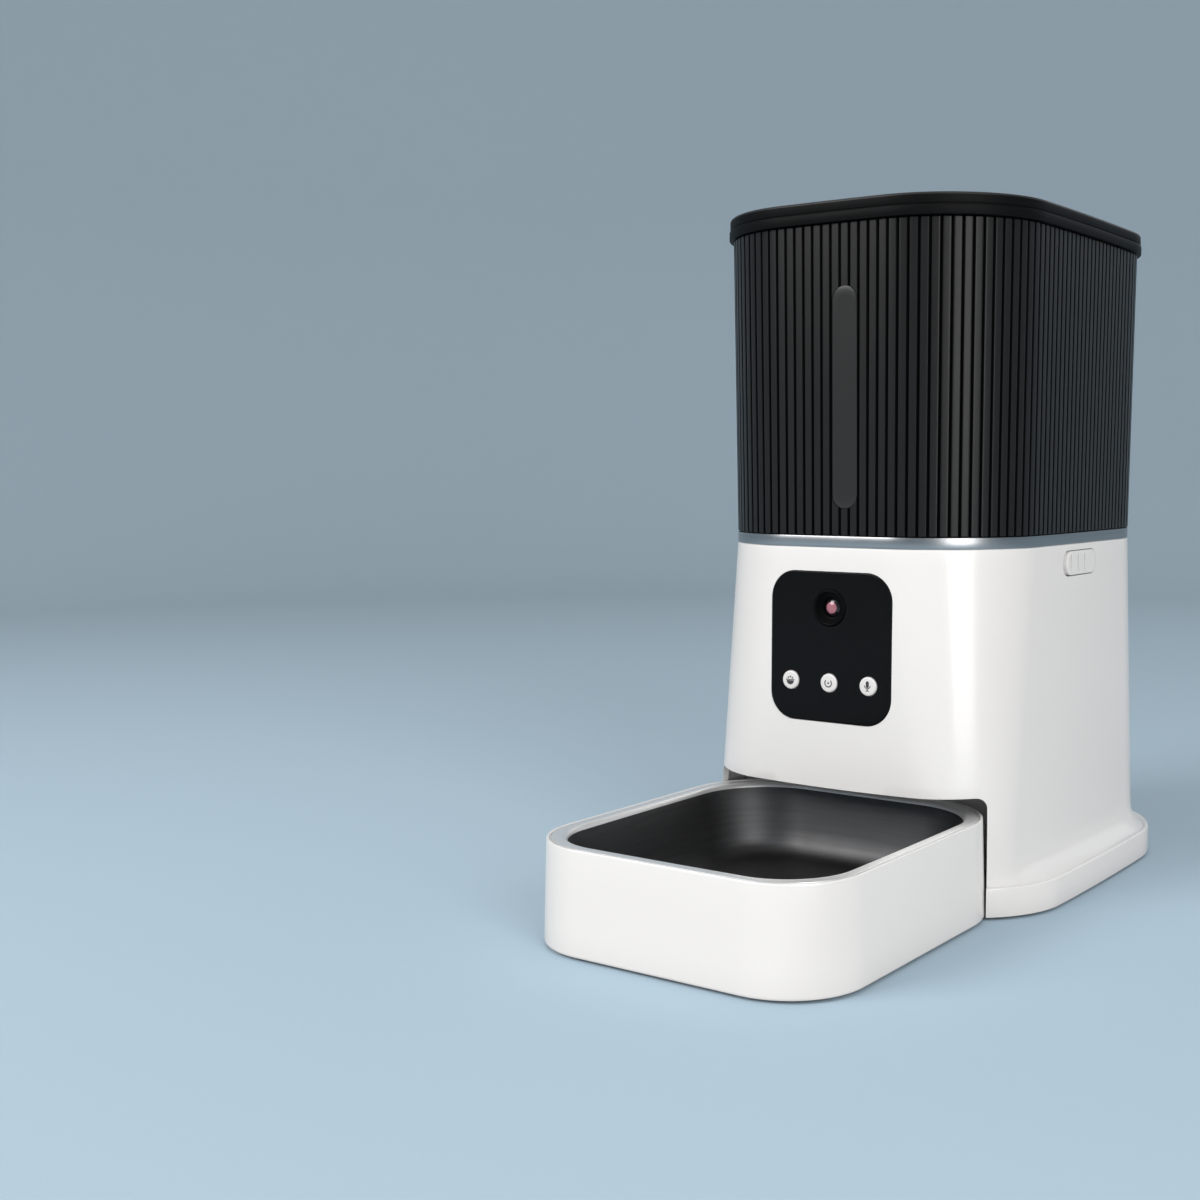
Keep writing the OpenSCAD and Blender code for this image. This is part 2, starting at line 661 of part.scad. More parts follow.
// Involute tooth flank, and a whole gear with a tooth pointing along the angle given by facing
function roll(a) = tan(a) * 180 / PI - a;
function flank(teeth, r) = let (pitch_r = gear_m * teeth / 2, base_r = pitch_r * cos(20))
    90 / teeth - backlash / pitch_r * 90 / PI + roll(20) - (r > base_r ? roll(acos(base_r / r)) : 0);
module gear(teeth, h, facing) {
    pitch_r = gear_m * teeth / 2;
    root_r = pitch_r - 1.15 * gear_m;
    tip_r = pitch_r + 0.85 * gear_m;
    steps = [for (k = [0 : 3]) lerp(root_r, tip_r, k / 3)];
    linear_extrude(h) polygon([for (t = [0 : teeth - 1])
        let (mid = facing + 360 * t / teeth) each concat(
            [for (k = [0 : 3]) let (a = mid - flank(teeth, steps[k])) steps[k] * [cos(a), sin(a)]],
            [for (k = [3 : -1 : 0]) let (a = mid + flank(teeth, steps[k])) steps[k] * [cos(a), sin(a)]])]);
}
module box_area(grow) {
    out_r = gear_m * output_teeth / 2 + 2.4 + grow;
    mid_r = gear_m * wheel_teeth / 2 + 2.4 + grow;
    end_r = gear_m * pinion_teeth / 2 + 2.4 + grow;
    translate([0, rotor_back]) circle(out_r, $fn = 64);
    translate([0, idler_y]) circle(mid_r, $fn = 64);
    translate([0, pinion_y]) circle(end_r, $fn = 64);
    translate([-end_r, idler_y]) square([2 * end_r, pinion_y - idler_y]);
}
module gearbox_base() {
    color("lightgray") at_tower() difference() {
        union() {
            translate([0, 0, gearbox_z]) linear_extrude(cover_z - gearbox_z) box_area(2);
            translate([0, pinion_y, gearbox_z])
                cylinder(d = motor_d, h = box_floor_t, $fn = round_fn);
        }
        translate([0, 0, gearbox_z + box_floor_t]) linear_extrude(cover_z) box_area(0);
        translate([0, rotor_back, 0]) rod(shaft_d + 2 * shaft_clear, 200);
        translate([0, idler_y, 0]) rod(pin_d, 200);
        translate([0, pinion_y, 0]) rod(motor_shaft_d + 3, 200);
    }
}
module gearbox_cover() {
    color("silver") at_tower() difference() {
        translate([0, 0, cover_z]) linear_extrude(cover_t) union() {
            box_area(2);
            for (p = hang_places) translate(p) circle(5, $fn = round_fn);
            translate([-58, rotor_back - 5]) square([116, 10]);
            translate([-38, rotor_back + 37]) square([76, 10]);
        }
        translate([0, rotor_back, 0]) rod(shaft_d + 2 * shaft_clear, 200);
        translate([0, idler_y, 0]) rod(pin_d, 200);
        for (p = hang_places) translate([p.x, p.y, 0]) rod(screw_hole, 200);
    }
}
module gearbox_screws() {
    color("silver") at_tower() for (p = hang_places) translate([p.x, p.y, cover_z - 2.2]) {
        rod(5.6, 2.2);
        rod(2.6, cover_t + 10);
    }
}
module hang_posts() {
    for (p = hang_places) translate([p.x, p.y, cover_z + cover_t]) difference() {
        rod(7, deck_z - cover_z - cover_t + 0.5);
        translate([0, 0, -1]) rod(2.6, 12);
    }
}
module drive_motor() {
    color("silver") at_tower() translate([0, pinion_y, gearbox_z - motor_len]) difference() {
        union() {
            rod(motor_d, motor_len);
            translate([0, 0, -2]) rod(10, 3);
            for (x = [-1, 1]) box(x * 8 - 1.5, x * 8 + 1.5, -0.4, 0.4, -5, 1);
        }
        translate([0, 0, motor_len - 12]) rod(motor_shaft_d + 2 * shaft_clear, 20);
    }
}
module motor_pinion() {
    color("goldenrod") at_tower() translate([0, pinion_y, 0]) {
        translate([0, 0, low_z]) gear(pinion_teeth, low_t, 270 + 180 / pinion_teeth);
        translate([0, 0, gearbox_z - 11.5]) rod(motor_shaft_d, low_z - gearbox_z + 11.5 + 1);
    }
}
module idler_gear() {
    color("ivory") at_tower() translate([0, idler_y, 0]) difference() {
        union() {
            translate([0, 0, low_z]) gear(wheel_teeth, low_t - 0.5, 90);
            translate([0, 0, low_z]) rod(gear_m * small_teeth - 3, high_z - low_z + 1);
            translate([0, 0, high_z]) gear(small_teeth, high_t, 270 + 180 / small_teeth);
        }
        rod(pin_d + 2 * shaft_clear, 200);
    }
}
module idler_pin() {
    color("silver") at_tower() translate([0, idler_y, gearbox_z])
        rod(pin_d, cover_z + cover_t - gearbox_z);
}
module output_gear() {
    color("ivory") at_tower() translate([0, rotor_back, 0]) {
        translate([0, 0, high_z]) gear(output_teeth, high_t, 90);
        translate([0, 0, gearbox_z]) rod(shaft_d, cover_z + cover_t + 1.5 - gearbox_z);
        translate([0, 0, cover_z + cover_t + 0.5])
            cylinder(d = dog_d, h = chamber_z + 3 + dog_h - cover_z - cover_t, $fn = 6);
    }
}

// Battery bay under the back of the base, and its sliding door
module battery_box() {
    color("gainsboro") at_tower() difference() {
        box(-bay_x - bay_wall, bay_x + bay_wall, bay_y0 - bay_wall, bay_y0 + bay_len + bay_wall,
            floor_top, floor_top + bay_h + bay_wall);
        box(-bay_x, bay_x, bay_y0, bay_y0 + bay_len, 0, floor_top + bay_h);
    }
}
module battery_contacts() {
    mid = floor_top + cell_d / 2;
    color("silver") at_tower() for (i = [-1, 0, 1]) {
        box(i * cell_d - 8, i * cell_d + 8, bay_y0, bay_y0 + 0.6, mid - 8, mid + 8);
        box(i * cell_d - 8, i * cell_d + 8, bay_y0 + bay_len - 0.6, bay_y0 + bay_len, mid - 8, mid + 8);
        translate([i * cell_d, bay_y0 + 0.5, mid]) rotate([-90, 0, 0])
            cylinder(d1 = 12, d2 = 6, h = 2.6, $fn = round_fn);
    }
}
door_y1 = plinth_back - 9.5;
module battery_door() {
    color("gainsboro") at_tower() difference() {
        box(-door_hw, door_hw, door_y0, door_y1, door_z, door_z + door_t);
        for (i = [0 : 4]) box(-14, 14, door_y1 - 8 - 3 * i, door_y1 - 6.8 - 3 * i,
            door_z - 1, door_z + 0.6);
    }
}

// Side latches: finger slides in the base walls, held by a flange behind the wall
latch_proud = 0.3;
latch_flange_t = 2;
module latch(s) {
    out_x = side_x(latch_z);
    back = out_x - base_wall - 1;
    rest_y = latch_y + latch_travel / 2;
    color("white") at_tower() translate([0, rest_y, latch_z]) {
        translate([s * back, 0, 0]) rotate([0, 0, -s * 90]) difference() {
            stadium(latch_len, latch_h - 2 * gap, out_x + latch_proud - back);
            for (i = [-1, 0, 1]) translate([s * (3 + 7.4 * i) - 1, out_x + latch_proud - back - 1.1,
                -latch_h / 2 + 2]) cube([2, 3, latch_h - 4]);
        }
        translate([s * (back - latch_flange_t + 0.5), 0, 0]) rotate([0, 0, -s * 90])
            stadium(latch_len + 6, latch_h, latch_flange_t);
    }
}
module latch_left() { latch(-1); }
module latch_right() { latch(1); }

// Tray and bowl
tray_len = tray_reach - tray_rear;
tray_y = -(tray_reach + tray_rear) / 2;
tray_floor_t = 2.5;
lip_w = 1.2;
ledge_drop = 1.2;
bowl_inset = lip_w + gap;
bowl_bow = 0.6;
module tray_slab(inset, z0, z1, rear_r) {
    // Wide round corners at the front, and rear corners of radius rear_r
    half = tray_len / 2 - inset;
    side = tray_hw - inset;
    front_r = tray_r - inset;
    translate([0, tray_y, z0]) linear_extrude(z1 - z0) union() {
        translate([-side, front_r - half]) square([2 * side, 2 * half - front_r - rear_r]);
        translate([front_r - side, -half]) square([2 * (side - front_r), 2 * front_r]);
        translate([rear_r - side, 0]) square([2 * (side - rear_r), half]);
        for (s = [-1, 1]) {
            translate([s * (side - front_r), front_r - half]) circle(front_r, $fn = 64);
            translate([s * (side - rear_r), half - rear_r]) circle(rear_r, $fn = 64);
        }
    }
}
tray_feet_places = [for (x = [-1, 1], y = [-1, 1]) [x * (tray_hw - 22), tray_y + y * (tray_len / 2 - 24)]];
module tray() {
    color("white") at_tower() difference() {
        tray_slab(0, foot_h, tray_h, tray_rear_r);
        tray_slab(lip_w, tray_h - ledge_drop, tray_h + 1, tray_r - lip_w);
        tray_slab(lip_w + tray_wall, foot_h + tray_floor_t, tray_h, tray_r - lip_w - tray_wall);
        for (p = tray_feet_places) translate([p.x, p.y, 0]) rod(10 + 2 * seat_gap, foot_h + 1.5);
    }
}
module tray_feet() {
    color("dimgray") at_tower() for (p = tray_feet_places) translate([p.x, p.y, 0])
        rod(10, foot_h + 1.5);
}
// Bowl outlines from the rim down: how far in from the flange, and how far below the rim
bowl_in = [0, 0.8, 1.8, 5, 7.5, 11, 16];
bowl_down = [0, 0.5, 1.6, 0.6, 0.84, 0.955, 1];
function bowl_plan(inset) = shift(plan(tray_hw - bowl_inset - inset,
    tray_len / 2 - bowl_inset - inset, tray_r - bowl_inset - inset * 0.6, bowl_bow), [0, tray_y]);
function bowl_drop(i) = i < 3 ? bowl_down[i] : bowl_down[i] * bowl_deep;
function bowl_stack(grow, z) = [for (i = [len(bowl_in) - 1 : -1 : 0])
    [bowl_plan(flange_w + bowl_in[i] - grow), z - bowl_drop(i)]];
bowl_top = tray_h - ledge_drop + gap + bowl_t;
module bowl() {
    color("lightsteelblue") at_tower() difference() {
        union() {
            loft([[bowl_plan(0), bowl_top - bowl_t], [bowl_plan(0), bowl_top]]);
            loft(bowl_stack(bowl_t, bowl_top - bowl_t));
        }
        loft(concat(bowl_stack(0, bowl_top), [[bowl_plan(flange_w), bowl_top + 1]]));
    }
}

// Hopper: the fluted shell with its floor, and the level window
hopper_in = hopper_wall + flute_depth;
chamber_out = chamber_r + chamber_wall;
hopper_floor_top = hopper_z + hopper_floor_t;
window_z = base_top + window_rise;
module window_cut(grow, depth) {
    translate([window_x, -waist_hd - hopper_taper - 6, window_z + window_h / 2])
        rotate([0, 90, 0]) stadium(window_h + 2 * grow, window_w + 2 * grow, depth);
}
module hopper() {
    color([0.13, 0.13, 0.14]) at_tower() difference() {
        band([[fluted(hopper_plan(hopper_z)), hopper_z], [fluted(hopper_plan(hopper_top)), hopper_top],
            [fluted(hopper_plan(hopper_top, -hopper_in), 0), hopper_top],
            [fluted(hopper_plan(hopper_z, -hopper_in), 0), hopper_z]]);
        window_cut(0, 20);
    }
}
module hopper_floor() {
    color([0.16, 0.16, 0.17]) at_tower() difference() {
        loft([[hopper_plan(hopper_z, -hopper_in - seat_gap), hopper_z],
            [hopper_plan(hopper_floor_top, -hopper_in - seat_gap), hopper_floor_top]]);
        translate([0, rotor_back, hopper_z - 1])
            cylinder(r = chamber_out + seat_gap, h = hopper_floor_t + 2, $fn = 96);
    }
}
module level_window() {
    z0 = window_z - 2;
    z1 = window_z + window_h + 2;
    color([0.2, 0.2, 0.2, 0.7]) at_tower() intersection() {
        window_cut(-seat_gap, 20);
        difference() {
            loft([[hopper_plan(z0), z0], [hopper_plan(z1), z1]]);
            loft([[hopper_plan(z0, -hopper_in), z0 - 1], [hopper_plan(z1, -hopper_in), z1 + 1]]);
        }
    }
}

// Funnel, rotor chamber and what turns in it
chamber_flange_t = 2.4;
chamber_flange = 8;
chamber_floor_t = 3;
funnel_h = 30;
funnel_t = 2;
funnel_z = hopper_floor_top + chamber_flange_t;
throat_bow = 0.4;
function throat_plan(r) = shift(plan(r, r, r - throat_bow - 1, throat_bow), [0, rotor_back]);
module hopper_funnel() {
    rim_z = funnel_z + funnel_h;
    wide = -hopper_in - 2 * seat_gap;
    color([0.16, 0.16, 0.17]) at_tower() band([
        [throat_plan(chamber_r + funnel_t + 1), funnel_z],
        [throat_plan(chamber_r + funnel_t + 1), funnel_z + 2],
        [hopper_plan(rim_z, wide), rim_z],
        [hopper_plan(rim_z + 3, wide), rim_z + 3],
        [hopper_plan(rim_z + 3, wide - funnel_t), rim_z + 3],
        [hopper_plan(rim_z, wide - funnel_t), rim_z + 2],
        [throat_plan(chamber_r), funnel_z + 2.8],
        [throat_plan(chamber_r), funnel_z]]);
}
chamber_screw_places = [for (i = [0 : 3]) (chamber_out + chamber_flange / 2) * [cos(45 + 90 * i), sin(45 + 90 * i)]];
module rotor_chamber() {
    color([0.18, 0.18, 0.19]) at_tower() translate([0, rotor_back, 0]) difference() {
        union() {
            translate([0, 0, chamber_z]) cylinder(r = chamber_out, h = funnel_z - chamber_z, $fn = 96);
            translate([0, 0, hopper_floor_top])
                cylinder(r = chamber_out + chamber_flange, h = chamber_flange_t, $fn = 96);
        }
        translate([0, 0, chamber_z + chamber_floor_t])
            cylinder(r = chamber_r, h = 100, $fn = 96);
        translate([0, 0, chamber_z - 1]) rod(dog_d + 3, 10);
        box(-20, 20, -chamber_r + 3, -chamber_r + 24, chamber_z - 1, chamber_z + 10);
        for (p = chamber_screw_places) translate([p.x, p.y, 0]) rod(2.6, 300);
    }
}
module chamber_screws() {
    color("silver") at_tower() translate([0, rotor_back, 0]) for (p = chamber_screw_places)
        translate([p.x, p.y, funnel_z - chamber_flange_t]) {
            rod(2.4, chamber_flange_t);
            translate([0, 0, chamber_flange_t]) rod(4.8, 1.6);
        }
}
rotor_z = chamber_z + chamber_floor_t + 0.5;
hub_d = 20;
paddle_t = 3;
module rotor() {
    color("orange") at_tower() translate([0, rotor_back, rotor_z]) difference() {
        union() {
            rod(hub_d, paddle_h);
            for (i = [0 : paddle_count - 1]) rotate(360 / paddle_count * i)
                box(0, chamber_r - 0.7, -paddle_t / 2, paddle_t / 2, 0, paddle_h);
        }
        translate([0, 0, -1]) cylinder(d = dog_d + 2 * gap, h = dog_h + 2, $fn = 6);
    }
}
module stirrer() {
    color("orange") at_tower() translate([0, rotor_back, rotor_z + paddle_h]) {
        rod(hub_d - 6, 12);
        for (s = [0, 1]) rotate(60 + 180 * s) translate([0, 0, 9]) rotate([0, 90, 0]) rod(5, chamber_r - 9);
    }
}
module portion_guard() {
    guard_z = rotor_z + paddle_h + 1;
    color([0.18, 0.18, 0.19]) at_tower() translate([0, rotor_back, guard_z]) intersection() {
        cylinder(r = chamber_r - seat_gap, h = 2, $fn = 96);
        box(-chamber_r, chamber_r, -chamber_r - 1, -hub_d / 2 - 2, -1, 4);
    }
}

// Lid: a shallow cap with a two-step edge, a skirt with a soft seal, and a drying box
skirt_gap = 2.4;
skirt_t = 2;
seal_h = 3;
lid_low = lid_z;
lid_step = lid_z + lid_h * 0.47;
lid_cap_t = 2.4;
function lid_plan(grow) = hopper_plan(hopper_top, lid_over + grow);
function skirt_plan(grow) = hopper_plan(hopper_top, -hopper_in - skirt_gap + grow);
module lid() {
    color([0.06, 0.06, 0.06]) at_tower() {
        difference() {
            loft([[lid_plan(-0.4), lid_low], [lid_plan(0), lid_low + 0.5], [lid_plan(0), lid_step - 0.4],
                [lid_plan(-0.5), lid_step], [lid_plan(-0.5), total_h - 1.2], [lid_plan(-1.7), total_h]]);
            loft([[skirt_plan(0), lid_low - 1], [skirt_plan(0), total_h - lid_cap_t]]);
            lid_dish();
        }
        difference() {
            loft([[skirt_plan(0), lid_low - skirt_h], [skirt_plan(0), total_h - lid_cap_t + 0.5]]);
            loft([[skirt_plan(-skirt_t), lid_low - skirt_h - 1], [skirt_plan(-skirt_t), total_h - lid_cap_t]]);
            lid_dish();
        }
    }
}
module lid_dish() {
    // The shallow sunk field on top of the lid
    loft([[lid_plan(-9), total_h - 0.8], [lid_plan(-8.2), total_h + 0.5]]);
}
module lid_seal() {
    z = lid_low - skirt_h + 3;
    out = skirt_plan(skirt_gap - gap);
    in = skirt_plan(seat_gap);
    color("gray") at_tower() band([[out, z], [out, z + seal_h], [in, z + seal_h], [in, z]]);
}
dry_d = 74;
dry_h = 16;
dry_z = total_h - lid_cap_t - dry_h;
module dry_box() {
    color("gainsboro") at_tower() translate([0, 0, dry_z]) difference() {
        rod(dry_d, dry_h);
        translate([0, 0, -1]) rod(dry_d - 4, dry_h - 1);
    }
}
module dry_box_cover() {
    color("whitesmoke") at_tower() translate([0, 0, dry_z - 2]) difference() {
        union() {
            rod(dry_d, 2 - seat_gap);
            translate([0, 0, 1]) rod(dry_d - 4 - 2 * seat_gap, 4);
        }
        translate([0, 0, 2 - seat_gap]) rod(dry_d - 8, 5);
        for (ring = [1 : 4], i = [0 : 6 * ring - 1]) rotate(60 / ring * i)
            translate([7 * ring, 0, -1]) rod(3, 5);
    }
}

base_shell();
bottom_plate();
base_feet();
plate_screws();
trim_ring();
deck();
bay_liner();
chute();
panel_carrier();
front_panel();
camera_ring();
camera_lens();
camera_barrel();
camera_board();
button_left();
button_middle();
button_right();
button_board();
button_switches();
main_board();
speaker();
speaker_ring();
power_inlet();
food_sensors();
gearbox_base();
gearbox_cover();
gearbox_screws();
drive_motor();
motor_pinion();
idler_gear();
idler_pin();
output_gear();
battery_box();
battery_contacts();
battery_door();
latch_left();
latch_right();
tray();
tray_feet();
bowl();
hopper();
hopper_floor();
level_window();
hopper_funnel();
rotor_chamber();
chamber_screws();
rotor();
stirrer();
portion_guard();
lid();
lid_seal();
dry_box();
dry_box_cover();
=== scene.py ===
# Looks of an automatic pet feeder with a camera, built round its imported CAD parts.
# Sizes are in millimetres in the tower's own coordinates until a mesh is made, which is in metres.
import json
import math

import bmesh
import bpy
import numpy as np
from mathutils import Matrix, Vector


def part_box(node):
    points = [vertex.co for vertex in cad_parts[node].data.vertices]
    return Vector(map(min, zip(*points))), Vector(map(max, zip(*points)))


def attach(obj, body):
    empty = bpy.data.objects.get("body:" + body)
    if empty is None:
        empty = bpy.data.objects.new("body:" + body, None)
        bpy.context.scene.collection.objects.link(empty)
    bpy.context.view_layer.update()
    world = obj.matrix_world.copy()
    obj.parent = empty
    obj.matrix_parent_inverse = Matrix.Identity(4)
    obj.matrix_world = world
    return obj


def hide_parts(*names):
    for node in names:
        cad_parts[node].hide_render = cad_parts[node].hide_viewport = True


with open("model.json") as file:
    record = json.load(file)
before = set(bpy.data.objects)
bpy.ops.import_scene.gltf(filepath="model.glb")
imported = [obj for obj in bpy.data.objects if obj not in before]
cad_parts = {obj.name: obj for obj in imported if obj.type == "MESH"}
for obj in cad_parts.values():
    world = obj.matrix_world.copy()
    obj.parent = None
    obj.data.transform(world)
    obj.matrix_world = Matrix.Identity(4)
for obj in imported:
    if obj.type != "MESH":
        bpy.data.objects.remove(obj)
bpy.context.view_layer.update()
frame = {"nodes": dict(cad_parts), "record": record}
nodes = frame["nodes"]
scene = bpy.context.scene
ring_low, ring_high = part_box("trim_ring")
tower_y = (ring_low.y + ring_high.y) / 2

# Viewpoint
# The camera stands to the right of the front, a little above half the feeder's height, and looks
# slightly down. The frame is shifted, because the feeder fills the right half of the picture.
camera_place = (0.35192, -0.68783, 0.19412)
camera_yaw = -34.08
camera_pitch = -4.87
sensor_width = 36.0
focal_pixels, picture_pixels = 1539.95, 1200
camera_data = bpy.data.cameras.new("camera")
camera_data.sensor_width = sensor_width
camera_data.lens = sensor_width * focal_pixels / picture_pixels
camera_data.shift_x = -0.125
camera = bpy.data.objects.new("camera", camera_data)
scene.collection.objects.link(camera)
camera.location = (camera_place[0], camera_place[1] + tower_y, camera_place[2])
camera.rotation_euler = (math.radians(90 + camera_pitch), 0, math.radians(-camera_yaw))
scene.camera = camera

# Floor and light
# A round dish makes floor and backdrop in one. Soft boxes light the front from the left, the near
# corner, the top and the back, so that the right side falls into a gentle shade.
lamp_white = (1.0, 0.985, 0.97)
floor_blue = (0.43, 0.56, 0.665)
floor_bounce = (0.56, 0.56, 0.56)
scene.view_settings.view_transform = "Standard"
scene.view_settings.look = "None"
world = bpy.data.worlds.new("studio")
scene.world = world
world.use_nodes = True
sky = world.node_tree.nodes["Background"]
sky.inputs["Color"].default_value = (*lamp_white, 1)
sky.inputs["Strength"].default_value = 0.55

def soft_box(name, place, target, size, power):
    """A rectangular lamp of a size and power in watts, at a place in metres and turned to a target."""
    lamp = bpy.data.lights.new(name, "AREA")
    lamp.shape = "RECTANGLE"
    lamp.size, lamp.size_y = size
    lamp.energy = power
    lamp.color = lamp_white
    holder = bpy.data.objects.new(name, lamp)
    scene.collection.objects.link(holder)
    holder.location = place
    aim = Vector(target) - Vector(place)
    holder.rotation_euler = aim.to_track_quat("-Z", "Y").to_euler()

soft_box("key_light", (-0.75, -1.35, 1.05), (0, 0, 0.16), (0.9, 0.9), 18)
soft_box("corner_light", (1.25, -0.8, 0.6), (0, 0, 0.2), (0.7, 1.3), 12.8)
soft_box("top_light", (0.1, -0.1, 1.7), (0, 0, 0.1), (1.2, 1.2), 3.5)
soft_box("back_light", (0.3, 1.6, 1.0), (0, 0, 0.2), (1.2, 0.8), 2)

def finish(name, colour, roughness, metallic=0.0, coat=0.0, grain=0.0, grain_scale=900.0, speculars=0.5):
    """A moulded, painted or metal surface: noise varies its roughness and, with grain, its relief."""
    material = bpy.data.materials.new(name)
    material.use_nodes = True
    tree = material.node_tree
    shader = tree.nodes["Principled BSDF"]
    shader.inputs["Base Color"].default_value = (*colour, 1)
    shader.inputs["Metallic"].default_value = metallic
    shader.inputs["Coat Weight"].default_value = coat
    shader.inputs["Coat Roughness"].default_value = 0.06
    shader.inputs["Specular IOR Level"].default_value = speculars
    place = tree.nodes.new("ShaderNodeTexCoord")
    noise = tree.nodes.new("ShaderNodeTexNoise")
    noise.inputs["Scale"].default_value = 60.0
    noise.inputs["Detail"].default_value = 3.0
    tree.links.new(place.outputs["Object"], noise.inputs["Vector"])
    spread = tree.nodes.new("ShaderNodeMapRange")
    spread.inputs["To Min"].default_value = roughness * 0.92
    spread.inputs["To Max"].default_value = roughness * 1.08
    tree.links.new(noise.outputs["Fac"], spread.inputs["Value"])
    tree.links.new(spread.outputs["Result"], shader.inputs["Roughness"])
    if grain:
        fine = tree.nodes.new("ShaderNodeTexNoise")
        fine.inputs["Scale"].default_value = grain_scale
        tree.links.new(place.outputs["Object"], fine.inputs["Vector"])
        relief = tree.nodes.new("ShaderNodeBump")
        relief.inputs["Strength"].default_value = grain
        relief.inputs["Distance"].default_value = 0.0002
        tree.links.new(fine.outputs["Fac"], relief.inputs["Height"])
        tree.links.new(relief.outputs["Normal"], shader.inputs["Normal"])
    return material

floor_flat, floor_sweep, wall_top, floor_drop = 1.7, 0.7, 2.4, 0.0002
profile = [(0.0, 0.0), (floor_flat * 0.5, 0.0), (floor_flat, 0.0)]
for step in range(1, 13):
    turn = math.radians(7.5 * step)
    profile.append((floor_flat + floor_sweep * math.sin(turn), floor_sweep * (1 - math.cos(turn))))
profile.append((floor_flat + floor_sweep, wall_top))
floor_mesh = bmesh.new()
chain = [floor_mesh.verts.new((x, 0, z - floor_drop)) for x, z in profile]
links = [floor_mesh.edges.new(pair) for pair in zip(chain, chain[1:])]
bmesh.ops.spin(floor_mesh, geom=chain + links, cent=(0, 0, 0), axis=(0, 0, 1), angle=2 * math.pi,
               steps=96)
bmesh.ops.remove_doubles(floor_mesh, verts=floor_mesh.verts, dist=1e-5)
bmesh.ops.recalc_face_normals(floor_mesh, faces=floor_mesh.faces)
floor_data = bpy.data.meshes.new("floor")
floor_mesh.to_mesh(floor_data)
floor_mesh.free()
floor_data.shade_smooth()
floor = bpy.data.objects.new("floor", floor_data)
scene.collection.objects.link(floor)
floor_paint = finish("floor_paint", floor_blue, 0.7, speculars=0.0)
tree = floor_paint.node_tree
seen = tree.nodes.new("ShaderNodeLightPath")
seen_or_mirrored = tree.nodes.new("ShaderNodeMath")
seen_or_mirrored.operation = "MAXIMUM"
tree.links.new(seen.outputs["Is Camera Ray"], seen_or_mirrored.inputs[0])
tree.links.new(seen.outputs["Is Glossy Ray"], seen_or_mirrored.inputs[1])
floor_tone = tree.nodes.new("ShaderNodeMixRGB")
floor_tone.inputs["Color1"].default_value = (*floor_bounce, 1)
floor_tone.inputs["Color2"].default_value = (*floor_blue, 1)
tree.links.new(seen_or_mirrored.outputs["Value"], floor_tone.inputs["Fac"])
tree.links.new(floor_tone.outputs["Color"], tree.nodes["Principled BSDF"].inputs["Base Color"])
floor_data.materials.append(floor_paint)

# Base shell
# The white body widens a little towards its foot and runs out in a soft ledge above the crisp
# plinth. The mouth for the tray, the panel's seat, latch slots, grille and inlet are cut into it.
waist_hw, waist_hd, waist_r, side_bow = 76.0, 104.0, 48.0, 3.0
base_top, base_flare, base_wall = 159.5, 1.5, 2.5
foot_r, foot_rear_r = 28.0, 38.0
plinth_hw, plinth_front, plinth_back, plinth_top = 91.5, 104.5, 108.5, 14.0
plinth_r, plinth_rear_r = 45.0, 59.0
floor_gap = 1.0
ledge_h, gutter = 15.0, 0.9
tray_hw, tray_front, tray_rear, tray_r, tray_rear_r = 73.5, 234.0, 66.0, 34.0, 40.0
tray_mid = -(tray_front + tray_rear) / 2
tray_hd = (tray_front - tray_rear) / 2
mouth_top, mouth_r, mouth_gap, mouth_droop, brow_hw = 52.5, 5.0, 1.2, 0.9, 64.0
panel_w, panel_h, panel_r, panel_z = 62.0, 67.3, 12.5, 115.0
latch_y, latch_z, latch_w, latch_h = -4.0, 150.5, 40.0, 12.0
speaker_z, grille_step, grille_d = 125.0, 3.6, 2.0
inlet_x, inlet_z, inlet_d = 30.0, 66.0, 8.3
door_hw, door_top = 56.2, 3.0
shell_count = 288
line_count = 320
front_cut, back_cut, door_cut, mouth_cut = (-96, -120), (92, 112), (80, 112), (-300, -50)
slot_floor, slot_out = 66, 90

def even(path, count):
    """Points at equal steps along a path that ends where it starts, the last one left out."""
    run = np.concatenate(([0.0], np.cumsum(np.hypot(*np.diff(path, axis=0).T))))
    at = np.linspace(0, run[-1], count + 1)[:-1]
    return np.column_stack((np.interp(at, run, path[:, 0]), np.interp(at, run, path[:, 1])))

def outline(hw, hd, r, bow=0.0, count=240, rear_r=None, middle_y=0.0):
    """Even points round a rounded rectangle with bowed sides, from the middle of the front."""
    hw, hd = hw - bow, hd - bow
    rear_r = r if rear_r is None else rear_r
    turn = np.linspace(0, math.pi / 2, 40)
    path = [[(0.0, -hd)]]
    for k, (sx, sy, cr) in enumerate(((1, -1, r), (1, 1, rear_r), (-1, 1, rear_r), (-1, -1, r))):
        angle = turn + (k - 1) * math.pi / 2
        corner = np.column_stack((sx * (hw - cr) + cr * np.cos(angle), sy * (hd - cr) + cr * np.sin(angle)))
        path.append(corner)
    path.append([(0.0, -hd)])
    path = even(np.vstack(path), 1600)
    x, y = path[:, 0].copy(), path[:, 1].copy()
    path[:, 0] = x * (1 + bow / hw * (1 - (y / hd) ** 2))
    path[:, 1] = y * (1 + bow / hd * (1 - (x / hw) ** 2))
    path = even(np.vstack((path, path[:1])), count)
    return path + np.array((0.0, middle_y))

def ring(points, z):
    """An outline set at one height, or at a height for each point."""
    return np.column_stack((points, np.broadcast_to(z, len(points))))

def piece(name, points, faces, material, smooth_angle=35.0):
    """A mesh object in the row's frame from tower coordinates in millimetres."""
    mesh = bpy.data.meshes.new(name)
    place = np.asarray(points) * 0.001 + np.array((0.0, tower_y, 0.0))
    mesh.from_pydata(place.tolist(), [], faces)
    thing = bpy.data.objects.new(name, mesh)
    scene.collection.objects.link(thing)
    if material is not None:
        dress(thing, material, smooth_angle)
    return thing

